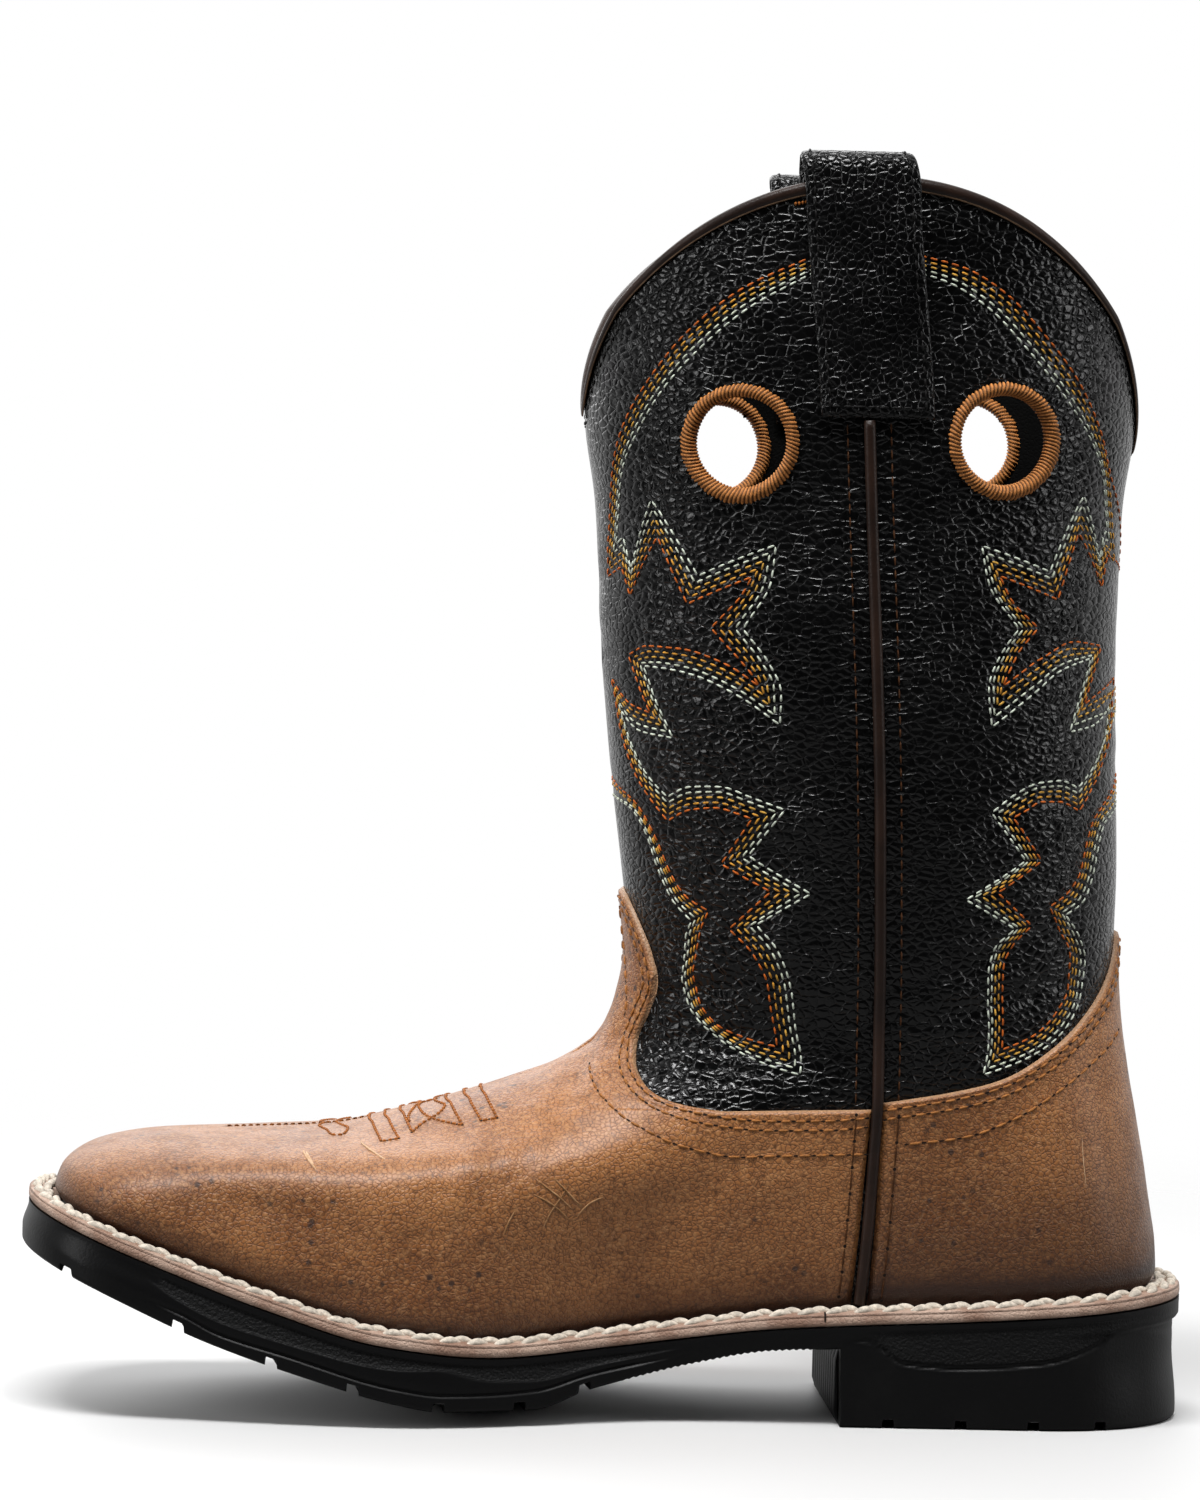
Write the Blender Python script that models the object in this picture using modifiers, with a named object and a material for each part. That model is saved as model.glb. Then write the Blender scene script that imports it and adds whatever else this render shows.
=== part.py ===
"""A right western boot: hollow upper, vamp, counter, straps, welt, moulded outsole and insole.

Frame: metres, +Z up, the floor at z = 0, toe toward -X, inner (medial) side toward -Y.
Lengths and heights below are in millimetres; meshes are scaled by MM when they are made.
"""

import math

import bpy
import numpy as np
from mathutils import Matrix, Vector

MM = 0.001

# Driving sizes of the last and the shaft
LAST_LENGTH = 288.7        # heel end to toe end at the feather line
BALL_WIDTH = 95.0          # across the last at the ball
HEEL_END = 144.6           # x of the last's heel end
COLLAR_SIDE = 323.0        # height of the collar's edge at the side seams
COLLAR_FRONT = 264.0       # height at the front dip
COLLAR_BACK = 258.0        # height at the back dip
TOE_SLANT = 0.07           # how far the toe's front edge leans forward on the inner side
CENTRE_Y = -0.5            # moves the last so that the part's box is centred

# Leather, welt and fit
WALL = 2.0                 # upper
OVERLAY = 1.2              # vamp and counter
OVERLAY_FIT = 0.55         # their clearance from the upper
FIT = 0.3                  # clearance between pieces
SEAT = 0.5                 # clearance above the outsole's curved top
WELT_WIDTH = 8.2           # welt's outer edge beyond the last
WELT_TOP = 4.3             # welt's top above the outsole's top
WALL_FOOT = 5.2            # the upper's straight wall above the outsole's top
INSOLE = 4.0

# Finger holes: place of each centre along x and z on both sides
HOLES = (("front", 26.2, 254.8), ("rear", 94.6, 257.2))
HOLE_RADIUS = 13.1
RING_RADIUS = 15.6
RING_LIFT = 0.7            # ring's clearance from the curved shaft
RING_BORE = 11.7

# Straps and piping
STRAP_WIDTH = 29.0
STRAP_LEATHER = 2.2
STRAP_FIT = 0.65           # clearance from the curved shaft
STRAP_FOOT = 262.0         # height of the strap's sewn ends
STRAP_RISE = 3.6           # clear loop above the collar
PIPING_RADIUS = 1.2
PIPING_TOP = 258.0

# Cross channels in the tread: x of each, then their size
FORE_CHANNELS = (-141.0, -112.5, -88.5, -67.5, -45.5, -24.5, -7.5)
HEEL_CHANNELS = (72.0, 91.0, 110.0, 128.0)
CHANNEL_WIDTH = 3.0
CHANNEL_DEPTH = 2.4
HEEL_BREAST = 59.2

# Grid of the upper: columns from seam to seam over the toe and round the heel, then rows as levels
FRONT_COLUMNS = 22
BACK_COLUMNS = 16
FOOT_ROWS = (0, 1, 2, 2.5, 3, 3.5, 4, 5, 6)
UPPER_ROWS = (7, 8, 9, 10, 11)
OVERLAY_ROWS = (12, 12.5, 13.05)
ANKLE = 12.0               # level at which the shaft begins
SHAFT_ROWS = 5
SEAM_GAP = 0.04            # angle left free for the piping beside vamp and counter

# Lengthwise sections of the last, from the toe wall up to the collar. front and rear are shares of
# LAST_LENGTH from the heel end, heights are above the floor, widths are shares of half BALL_WIDTH,
# and the rounds say how far from each end the section reaches its full width.
SECTION = ("front", "front_z", "rear", "rear_z",
           "heel", "waist", "ball", "toe", "rear_round", "front_round")
SECTIONS = (
    (0.995, 60.5, 0.002, 46.5, 0.695, 0.735, 1.04, 0.83, 0.114, 0.094),
    (0.972, 65.7, 0.006, 53.5, 0.705, 0.770, 1.04, 0.82, 0.116, 0.118),
    (0.918, 68.9, 0.010, 60.0, 0.705, 0.790, 1.01, 0.84, 0.118, 0.180),
    (0.840, 69.9, 0.014, 67.0, 0.705, 0.800, 0.96, 0.84, 0.125, 0.229),
    (0.761, 71.1, 0.019, 74.5, 0.705, 0.800, 0.89, 0.80, 0.132, 0.263),
    (0.683, 76.2, 0.024, 82.0, 0.705, 0.800, 0.82, 0.76, 0.139, 0.284),
    (0.610, 82.6, 0.029, 89.0, 0.705, 0.800, 0.79, 0.74, 0.149, 0.284),
    (0.548, 89.4, 0.033, 95.5, 0.715, 0.800, 0.78, 0.74, 0.159, 0.277),
    (0.510, 97.4, 0.037, 102.5, 0.735, 0.810, 0.79, 0.76, 0.173, 0.267),
    (0.494, 108.5, 0.040, 110.0, 0.770, 0.830, 0.82, 0.80, 0.194, 0.246),
    (0.488, 120.5, 0.042, 120.5, 0.820, 0.855, 0.86, 0.84, 0.215, 0.229),
    (0.497, 142.0, 0.041, 142.0, 0.895, 0.895, 0.90, 0.90, 0.222, 0.232),
    (0.510, 169.5, 0.044, 169.5, 0.947, 0.947, 0.95, 0.95, 0.229, 0.236),
    (0.521, 201.0, 0.048, 201.0, 0.990, 0.990, 0.99, 0.99, 0.232, 0.239),
    (0.530, 238.0, 0.046, 238.0, 1.020, 1.020, 1.02, 1.02, 0.239, 0.243),
    (0.542, 262.0, 0.037, 262.0, 1.053, 1.053, 1.05, 1.05, 0.250, 0.253),
    (0.545, 290.0, 0.035, 290.0, 1.063, 1.063, 1.06, 1.06, 0.253, 0.256),
    (0.545, 330.0, 0.035, 330.0, 1.063, 1.063, 1.06, 1.06, 0.253, 0.256),
)
FEATHER = (0.66, 0.68, 1.00, 0.80, 0.111, 0.090)   # widths and rounds where the last meets the sole
WIDTH_AT = (0.15, 0.45, 0.70, 1.00)                # heel, waist, ball and toe along a section

# Lines seen from the side, as (x, z)
BASE_LINE = ((-156, 54.5), (-120, 40.2), (-90, 29.3), (-60, 20.7), (-30, 17.6), (0, 19.8), (45, 25.2),
             (100, 28.2), (156, 32.6))
SEAM_LINE = ((37, 63.6), (86, 67.0), (148, 65.4), (259, 58.9), (330, 55.0))     # as (z, x)
VAMP_LINE = ((67.0, 83.0), (53.0, 81.6), (37.0, 81.2), (21.5, 82.0), (12.3, 83.8), (7.0, 87.4), (5.0, 92.6),
             (5.6, 97.8), (8.6, 106.0), (10.4, 113.6), (8.7, 121.0), (5.0, 130.0), (0.6, 139.5))
COUNTER_LINE = ((67.0, 84.5), (87.0, 87.8), (100.0, 91.2), (113.0, 98.8), (122.0, 107.0), (128.0, 115.0),
                (131.0, 121.5), (132.6, 128.5), (133.6, 131.0))
SWING = ((-145, -4.5), (-60, 0.5), (10, 3.0), (60, 1.0), (150, 0.0))            # centre line, as (x, y)

# The tread from toe to heel breast: height of its edge, and how far its middle bulges below the edge
TREAD = ("x", "edge", "crown")
TREAD_LINE = (
    (-156, 43.5, 1.0), (-130, 31.9, 1.2), (-104.6, 20.8, 1.8), (-76.6, 11.7, 3.0), (-57, 6.3, 3.8),
    (-44, 4.2, 4.2), (-21, 4.2, 4.2), (-6, 9.0, 3.2), (7, 12.2, 2.4), (20, 15.5, 1.8), (41, 19.4, 1.0),
    (60, 20.4, 0.5),
)
# The outsole's side: height of the panel's lower line and of the groove under it, as shares of the side
# from its top, how deep the panel and the groove are, and how far the side swells or is set back
SIDE = ("x", "panel", "groove", "panel_cut", "groove_cut", "swell")
SIDE_LINES = (
    (-156, 0.30, 0.66, 0.0, 0.0, 1.6), (-122, 0.30, 0.66, 0.0, 0.0, 1.2), (-112, 0.44, 0.66, 0.6, 0.6, 1.0),
    (-102, 0.52, 0.74, 0.6, 0.7, 0.9), (-81, 0.46, 0.68, 0.6, 0.7, 0.8), (-57, 0.37, 0.70, 0.6, 0.7, 0.8),
    (-45, 0.26, 0.69, 0.6, 0.7, 0.8), (-32, 0.43, 0.67, 0.6, 0.7, 0.8), (-18, 0.46, 0.62, 0.6, 0.7, 0.8),
    (0, 0.40, 0.58, 0.6, 0.7, 0.6), (22, 0.34, 0.55, 0.0, 0.0, 0.2), (59, 0.16, 0.52, 0.0, 0.0, 0.0),
    (66, 0.16, 0.52, 0.3, 0.3, 0.0), (76, 0.38, 0.54, 0.6, 0.3, 0.0), (93, 0.41, 0.55, 0.6, 0.3, 0.0),
    (112, 0.38, 0.54, 0.6, 0.3, 0.0), (126, 0.26, 0.46, 0.6, 0.3, -0.5), (134, 0.16, 0.36, 0.3, 0.3, -1.0),
    (156, 0.16, 0.30, 0.0, 0.0, -1.4),
)

# Materials: colour and roughness
LEATHER_BLACK = ("black tumbled leather", (0.012, 0.012, 0.013), 0.45)
LEATHER_BROWN = ("brown distressed leather", (0.20, 0.105, 0.05), 0.60)
LEATHER_EDGE = ("dark brown edge leather", (0.035, 0.018, 0.012), 0.55)
THREAD_BROWN = ("brown embroidery thread", (0.17, 0.075, 0.03), 0.50)
WELT_TAN = ("tan welt", (0.42, 0.28, 0.21), 0.60)
RUBBER_BLACK = ("black outsole rubber", (0.010, 0.010, 0.010), 0.55)
LINING_TAN = ("tan insole leather", (0.35, 0.22, 0.12), 0.70)


def smooth(at, xs, ys):
    """Cubic curve through (xs, ys) that never overshoots, evaluated at the array at."""
    xs, ys, at = np.asarray(xs, float), np.asarray(ys, float), np.asarray(at, float)
    steps = np.diff(xs)
    slopes = np.diff(ys) / steps
    before, after = slopes[:-1], slopes[1:]
    product = before * after
    inner = np.where(product > 0, 2 * product / np.where(product > 0, before + after, 1), 0)
    tangents = np.concatenate([slopes[:1], inner, slopes[-1:]])
    at = np.clip(at, xs[0], xs[-1])
    i = np.clip(np.searchsorted(xs, at) - 1, 0, len(steps) - 1)
    s = (at - xs[i]) / steps[i]
    rise = (3 - 2 * s) * s**2
    bend = s * (1 - s) * steps[i]
    return ys[i] * (1 - rise) + ys[i + 1] * rise + bend * ((1 - s) * tangents[i] - s * tangents[i + 1])


def on_line(line, at):
    """Second value of a line's points, read at its first value."""
    xs, ys = zip(*line)
    return smooth(at, xs, ys)


def base(x):
    """Height of the outsole's top, on which welt, upper and insole stand."""
    return on_line(BASE_LINE, x)


def section_table():
    """One array for each column of the sections, with the two straight rows at the sole put first."""
    front, rear = HEEL_END - LAST_LENGTH, HEEL_END
    rows = [(1.0, base(front) + rise, 0.0, base(rear) + rise) + FEATHER for rise in (SEAT, WALL_FOOT)]
    columns = dict(zip(SECTION, np.array(rows + list(SECTIONS)).T))
    for name in ("front", "rear"):
        columns[name] = HEEL_END - columns[name] * LAST_LENGTH
    for name in ("heel", "waist", "ball", "toe"):
        columns[name] = columns[name] * BALL_WIDTH / 2
    for name in ("rear_round", "front_round"):
        columns[name] = columns[name] * LAST_LENGTH
    return columns


TABLE = section_table()
LEVELS = np.arange(len(TABLE["front"]))


def round_end(distance, reach, power):
    """Share of the full width at a distance from the end of a section."""
    inward = 1 - np.clip(distance / reach, 0, 1)
    return (1 - inward**power) ** (1 / power)


def last_surface(theta, level):
    """Outer surface of the upper. theta runs from the heel (0) by the inner side to the toe (pi) and
    back by the outer side; level runs up through the sections."""
    theta, level = np.broadcast_arrays(np.asarray(theta, float), np.asarray(level, float))
    row = {name: smooth(level, LEVELS, column) for name, column in TABLE.items()}
    along = (1 - np.cos(theta)) / 2
    x = row["rear"] + (row["front"] - row["rear"]) * along
    nodes = np.stack([row["heel"], row["heel"], row["waist"], row["ball"], row["toe"]])
    stops = np.array((0.0,) + WIDTH_AT)
    i = np.clip(np.searchsorted(stops, along) - 1, 0, len(WIDTH_AT) - 1)
    s = (along - stops[i]) / (stops[i + 1] - stops[i])
    ease = (3 - 2 * s) * s**2
    low = np.take_along_axis(nodes, i[None], 0)[0]
    high = np.take_along_axis(nodes, i[None] + 1, 0)[0]
    square = 2.15 + 0.35 * np.clip(1 - level / 5, 0, 1)
    width = (low * (1 - ease) + high * ease) * round_end(row["rear"] - x, row["rear_round"], 2.1)
    width = width * round_end(x - row["front"], row["front_round"], square)
    foot = np.clip((12 - level) / 6, 0, 1)
    y = on_line(SWING, x) * foot - np.sign(np.sin(theta)) * width
    x = x + TOE_SLANT * y * foot * np.clip((-20 - x) / 100, 0, 1)
    ends = base(row["rear"]) * (1 - along) + base(row["front"]) * along
    sag = np.clip((9 - level) / 8, 0, 1) ** 1.2
    z = row["rear_z"] + (row["front_z"] - row["rear_z"]) * along + sag * (base(x) - ends)
    return np.stack([x, y + CENTRE_Y, z], -1)


def outward(theta, level):
    """Unit normals of the last's surface, from short steps along it."""
    step = 1e-3
    level = np.asarray(level, float)
    up = last_surface(theta, level + step) - last_surface(theta, level - step)
    turn = last_surface(theta + step, level) - last_surface(theta - step, level)
    normal = np.cross(up, turn)
    return normal / np.linalg.norm(normal, axis=-1, keepdims=True)


def level_at(x, z):
    """Level of the section that passes through (x, z) as seen from the side."""
    fine = np.linspace(0, LEVELS[-1], 761)
    rear, front = (smooth(fine, LEVELS, TABLE[name]) for name in ("rear", "front"))
    found = []
    for one_x, one_z in zip(np.atleast_1d(x), np.atleast_1d(z)):
        along = np.clip((rear - one_x) / (rear - front), 0, 1)
        heights = last_surface(np.arccos(1 - 2 * along), fine)[:, 2]
        found.append(np.interp(one_z, heights, fine))
    return np.array(found)


def theta_at(x, level):
    """Angle on the inner side at which the section at this level passes x."""
    rear, front = (smooth(level, LEVELS, TABLE[name]) for name in ("rear", "front"))
    return np.arccos(1 - 2 * np.clip((rear - x) / (rear - front), 0, 1))


def seam_theta(level):
    """Angle of the inner side seam at each level."""
    rear_z, front_z = (smooth(level, LEVELS, TABLE[name]) for name in ("rear_z", "front_z"))
    return theta_at(on_line(SEAM_LINE, (rear_z + front_z) / 2), level)


def column_angles(level):
    """Angles of the grid's columns: from seam to seam over the toe, then round the heel."""
    column = np.arange(FRONT_COLUMNS + BACK_COLUMNS)
    seam = seam_theta(np.broadcast_to(np.asarray(level, float), column.shape))
    front = seam + 2 * (math.pi - seam) * column / FRONT_COLUMNS
    back = seam * (2 * (column - FRONT_COLUMNS) / BACK_COLUMNS - 1)
    return np.where(column < FRONT_COLUMNS, front, back)


def collar_level(theta):
    """Level of the scalloped edge: high at the seams, dipping at front and back."""
    blunt = 0.08
    turn = (np.hypot(np.sin(theta), blunt) - blunt) / (math.hypot(1, blunt) - blunt)
    dip = np.where(np.cos(theta) < 0, COLLAR_FRONT, COLLAR_BACK)
    return np.interp(dip + (COLLAR_SIDE - dip) * turn**0.9, TABLE["rear_z"], LEVELS)


def shaft_row(share):
    """Angles and levels of the grid row at a share of the way from ankle to collar."""
    level = np.full(FRONT_COLUMNS + BACK_COLUMNS, ANKLE)
    for _ in range(4):
        theta = column_angles(level)
        level = ANKLE + (collar_level(theta) - ANKLE) * share
    return theta, level


def make_material(name, colour, roughness):
    material = bpy.data.materials.get(name) or bpy.data.materials.new(name)
    material.diffuse_color = (*colour, 1)
    material.use_nodes = True
    shader = material.node_tree.nodes["Principled BSDF"]
    shader.inputs["Base Color"].default_value = (*colour, 1)
    shader.inputs["Roughness"].default_value = roughness
    return material


def add_mesh(name, points, faces, collection, material=None):
    """Object from points in millimetres and index faces."""
    mesh = bpy.data.meshes.new(name)
    mesh.from_pydata((np.asarray(points) * MM).tolist(), [], [list(map(int, face)) for face in faces])
    obj = bpy.data.objects.new(name, mesh)
    if material:
        mesh.materials.append(make_material(*material))
    collection.objects.link(obj)
    return obj


def grid_faces(rows, columns, wrap_rows=False, wrap_columns=False):
    """Quads of a grid of points stored row after row."""
    i = np.arange(rows if wrap_rows else rows - 1)[:, None]
    j = np.arange(columns if wrap_columns else columns - 1)[None, :]
    i, j = np.broadcast_arrays(i, j)
    up, right = (i + 1) % rows, (j + 1) % columns
    corners = [i * columns + j, i * columns + right, up * columns + right, up * columns + j]
    return np.stack(corners, -1).reshape(-1, 4)


def add_shell(name, points, thickness, collection, material, wrap=False, out=False):
    """Sheet of leather from a grid of surface points, thickened inward or outward."""
    rows, columns = points.shape[:2]
    faces = grid_faces(rows, columns, wrap_columns=wrap)[:, ::-1]
    obj = add_mesh(name, points.reshape(-1, 3), faces, collection, material)
    solid = obj.modifiers.new("leather", "SOLIDIFY")
    solid.thickness = thickness * MM
    solid.offset = 1 if out else -1
    solid.use_even_offset = True
    return obj


def add_ring(name, points, collection, material):
    """Closed ring from a grid whose rows run round the ring and whose columns run round its profile."""
    rows, columns = points.shape[:2]
    faces = grid_faces(rows, columns, wrap_rows=True, wrap_columns=True)
    return add_mesh(name, points.reshape(-1, 3), faces, collection, material)


def add_slab(name, rows, top, bottom, collection, material):
    """Solid from rings of side points, top first, closed by a top and a bottom cap. Each cap is a grid
    with a row for each pair of facing columns, running from the inner to the outer side."""
    count = rows.shape[1]
    half = count // 2
    ring = np.arange(count)
    points = [rows.reshape(-1, 3)]
    faces = [grid_faces(rows.shape[0], count, wrap_columns=True)]
    first = rows.shape[0] * count
    for cap, edge, flip in ((top, 0, True), (bottom, rows.shape[0] - 1, False)):
        across = cap.shape[1]
        index = np.empty((half + 1, across), int)
        index[:, 0] = edge * count + ring[: half + 1]
        index[:, -1] = edge * count + (count - ring[: half + 1]) % count
        index[0], index[half] = edge * count, edge * count + half
        inside = cap[1:half, 1:-1].reshape(-1, 3)
        index[1:half, 1:-1] = first + np.arange(len(inside)).reshape(half - 1, across - 2)
        points.append(inside)
        first += len(inside)
        corners = [index[:-1, :-1], index[1:, :-1], index[1:, 1:], index[:-1, 1:]]
        quads = np.stack(corners, -1).reshape(-1, 4)
        faces.append(quads[:, ::-1] if flip else quads)
    tidy = [list(dict.fromkeys(face)) for block in faces for face in block.tolist()]
    tidy = [face for face in tidy if len(face) > 2]
    return add_mesh(name, np.concatenate(points), tidy, collection, material)


def cut(obj, cutter):
    boolean = obj.modifiers.new(cutter.name, "BOOLEAN")
    boolean.operation = "DIFFERENCE"
    boolean.solver = "EXACT"
    boolean.object = cutter


def outline(theta, offset):
    """Plan of the last at the feather line, set out by an offset along its edge normal."""
    step = 1e-3
    points = last_surface(theta, 0.0)
    turn = last_surface(theta + step, 0.0) - last_surface(theta - step, 0.0)
    normal = np.stack([-turn[..., 1], turn[..., 0], 0 * turn[..., 0]], -1)
    normal = normal / np.linalg.norm(normal, axis=-1, keepdims=True)
    return points + normal * np.asarray(offset)[..., None]


def make_upper(collection, cutters):
    """Shaft and underlay in one hollow shell, with the finger holes cut through it."""
    rows = [(column_angles(level), level) for level in FOOT_ROWS + UPPER_ROWS]
    rows += [shaft_row(share) for share in np.linspace(0, 1, SHAFT_ROWS + 1)]
    points = np.stack([last_surface(theta, level) for theta, level in rows])
    upper = add_shell("upper", points, WALL, collection, LEATHER_BLACK, wrap=True)
    for place, x, z in HOLES:
        level = level_at(x, z)
        for side, name in ((1, "medial"), (-1, "lateral")):
            theta = side * theta_at(x, level)
            centre, normal = last_surface(theta, level)[0], outward(theta, level)[0]
            turn = Vector(normal).to_track_quat("Z", "Y").to_matrix().to_4x4()
            cutter = add_cylinder(f"cut_{place}_{name}", HOLE_RADIUS, 24, cutters)
            cutter.matrix_world = Matrix.Translation(Vector(centre) * MM) @ turn
            cut(upper, cutter)
    return upper


def add_cylinder(name, radius, depth, collection, sides=24):
    """Cylinder along its own Z, centred."""
    angle = np.arange(sides) * 2 * math.pi / sides
    circle = np.stack([radius * np.cos(angle), radius * np.sin(angle)], -1)
    points = np.concatenate([np.c_[circle, np.full(sides, h)] for h in (-depth / 2, depth / 2)])
    faces = grid_faces(2, sides, wrap_columns=True).tolist()
    faces += [list(range(sides))[::-1], list(range(sides, 2 * sides))]
    return add_mesh(name, points, faces, collection)


def make_overlay(name, line, front, collection, cutters):
    """Brown overlay on the last from just above the welt, from seam to seam, trimmed along its top line."""
    count = FRONT_COLUMNS if front else BACK_COLUMNS
    position = np.linspace(-1, 1, count + 1)
    points = []
    for level in FOOT_ROWS[1:] + UPPER_ROWS + OVERLAY_ROWS:
        seam = seam_theta(float(level))
        theta = math.pi + position * (math.pi - seam) if front else position * seam
        theta[[0, -1]] += SEAM_GAP, -SEAM_GAP
        points.append(last_surface(theta, level) + outward(theta, level) * OVERLAY_FIT)
    overlay = add_shell(name, np.stack(points), OVERLAY, collection, LEATHER_BROWN, out=True)
    cut(overlay, add_trim(f"trim_{name}", line, cutters))


def add_trim(name, line, collection):
    """Prism across the boot that holds everything above a line seen from the side."""
    knots = np.arange(len(line))
    fine = np.linspace(0, len(line) - 1, 3 * len(line) - 2)
    edge = np.stack([smooth(fine, knots, column) for column in np.array(line).T], -1)
    seam, tip = edge[0, 0], edge[-1, 0]
    beyond = math.copysign(40, tip - seam)
    far, near = tip + beyond, seam - beyond / 2
    lid = [(far, edge[-1, 1] + 2), (far, 180), (near, 180), (near, edge[0, 1])]
    loop = np.concatenate([edge, lid])
    count, reach = len(loop), 80
    points = np.concatenate([np.insert(loop, 1, y, axis=1) for y in (-reach, reach)])
    faces = grid_faces(2, count, wrap_columns=True).tolist()
    faces += [list(range(count))[::-1], list(range(count, 2 * count))]
    clockwise = beyond < 0
    return add_mesh(name, points, [face if clockwise else face[::-1] for face in faces], collection)


def make_piping(name, side, collection):
    """Cord down the side seam from strap to welt."""
    start = level_at([on_line(SEAM_LINE, PIPING_TOP)], [PIPING_TOP])[0]
    level = np.linspace(1.15, start, 16)
    theta = side * seam_theta(level)
    path = last_surface(theta, level) + outward(theta, level) * (PIPING_RADIUS + FIT)
    curve = bpy.data.curves.new(name, "CURVE")
    curve.dimensions = "3D"
    curve.bevel_depth = PIPING_RADIUS * MM
    curve.bevel_resolution = 1
    curve.use_fill_caps = True
    spline = curve.splines.new("POLY")
    spline.points.add(len(path) - 1)
    for point, place in zip(spline.points, path):
        point.co = (*(place * MM), 1)
    curve.materials.append(make_material(*LEATHER_EDGE))
    obj = bpy.data.objects.new(name, curve)
    collection.objects.link(obj)


def make_strap(name, side, collection):
    """Strap up the outside of the shaft, over the collar in a low loop and down the inside."""
    edge = COLLAR_SIDE + 1.5
    legs = ((STRAP_FIT, STRAP_FOOT), (STRAP_FIT, STRAP_FOOT + 14), (STRAP_FIT + 0.3, STRAP_FOOT + 32))
    legs += ((1.3, edge - 13.5), (1.8, edge - 5.5), (1.8, edge))
    middle, reach = -WALL / 2, 1.8 + WALL / 2
    path = list(legs)
    for angle in np.radians((25, 55, 90, 125, 155)):
        path.append((middle + reach * math.cos(angle), edge + STRAP_RISE * math.sin(angle)))
    path += [(-WALL - offset, height) for offset, height in legs[::-1]]
    points = []
    for offset, height in path:
        x = on_line(SEAM_LINE, height) + np.linspace(-0.5, 0.5, 5) * STRAP_WIDTH
        level = level_at(x, np.full(5, height))
        theta = side * theta_at(x, level)
        row = last_surface(theta, level) + outward(theta, level) * offset
        row[:, 2] = height
        points.append(row)
    points = np.stack(points)[:, ::-side]
    return add_shell(name, points, STRAP_LEATHER, collection, LEATHER_BLACK, out=True)


def make_binding(collection):
    """Binding folded over the collar's edge, a U in section."""
    theta, level = shaft_row(1.0)
    edge, normal = last_surface(theta, level), outward(theta, level)
    up = edge - last_surface(theta, level - 0.1)
    up = up / np.linalg.norm(up, axis=-1, keepdims=True)
    room, lap, leather = FIT + 0.2, 4.0, 0.8
    inner, crest = -WALL - room, FIT + leather + 0.4
    profile = ((room, -lap), (room + leather, -lap), (room + leather - 0.2, crest))
    profile += ((inner - leather + 0.2, crest), (inner - leather, -lap), (inner, -lap))
    profile += ((inner, room), (room, room))
    points = np.stack([edge + normal * offset + up * height for offset, height in profile], 1)
    return add_ring("collar_binding", points, collection, LEATHER_EDGE)


def make_hole_ring(name, x, z, side, collection):
    """Embroidered ring lapped over both faces of the shaft round a finger hole."""
    level = level_at(x, z)
    tilt = outward(theta_at(x, level), level)[0]
    angle = np.arange(14) * 2 * math.pi / 14
    inner, bore = -WALL - RING_LIFT, RING_BORE + 0.6
    profile = ((RING_RADIUS, RING_LIFT), (RING_RADIUS - 0.5, 1.1), (13.6, 1.5), (RING_BORE, 0.7))
    profile += ((RING_BORE, inner - 0.2), (13.6, inner - 1.0), (RING_RADIUS - 0.5, inner - 0.6))
    profile += ((RING_RADIUS, inner), (bore, inner), (bore, RING_LIFT))
    points = []
    for radius, offset in profile:
        across = x + radius * np.cos(angle) * abs(tilt[1])
        height = z + radius * np.sin(angle)
        levels = level_at(across, height)
        theta = side * theta_at(across, levels)
        points.append(last_surface(theta, levels) + outward(theta, levels) * offset)
    points = np.stack(points, 1)
    return add_ring(name, points[:, ::-side], collection, THREAD_BROWN)


def make_welt(collection):
    """Welt round the whole last, with a raised inner bead."""
    theta = column_angles(0.0)
    profile = ((FIT, SEAT), (WELT_WIDTH - 0.2, SEAT), (WELT_WIDTH, 2.2), (WELT_WIDTH - 0.5, 3.9))
    profile += ((WELT_WIDTH - 1.4, WELT_TOP - 0.2), (3.0, WELT_TOP - 0.2), (1.8, WELT_TOP), (FIT, WELT_TOP))
    points = []
    for offset, height in profile:
        edge = outline(theta, np.full(len(theta), offset))
        edge[:, 2] = base(edge[:, 0]) + height
        points.append(edge)
    return add_ring("welt", np.stack(points, 1), collection, WELT_TAN)


def paired_columns(extra=()):
    """Angles in facing pairs from heel to toe and back, with pairs added at the given x."""
    half = np.linspace(0, math.pi, 25)
    added = theta_at(np.array(extra, float), np.zeros(len(extra))) if extra else np.zeros(0)
    near = np.abs(half[:, None] - added[None, :]).min(1, initial=9.0) < 0.03
    half = np.sort(np.concatenate([half[~near], added]))
    return np.concatenate([half, 2 * math.pi - half[-2:0:-1]])


def make_cap(edge, across, height):
    """Cap grid between facing columns of an edge ring; height is a function of x and side share."""
    half = len(edge) // 2
    inner = edge[: half + 1]
    outer = np.concatenate([edge[:1], edge[: half - 1 : -1]])
    share = np.linspace(0, 1, across)[None, :, None]
    cap = inner[:, None] * (1 - share) + outer[:, None] * share
    cap[..., 2] = height(cap[..., 0], np.abs(2 * share[..., 0] - 1))
    return cap


def tread_height(x, aside, heel):
    """Height of the tread: flat under the heel and the middle of the ball, rising to its edge.
    aside is 0 at the middle and 1 at the edge."""
    columns = dict(zip(TREAD, np.array(TREAD_LINE).T))
    edge, crown = (smooth(x, columns["x"], columns[name]) for name in ("edge", "crown"))
    sole = edge - crown * (1 - np.clip((aside - 0.25) / 0.75, 0, 1) ** 1.2)
    return np.where(heel, 0.0, sole)


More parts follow.
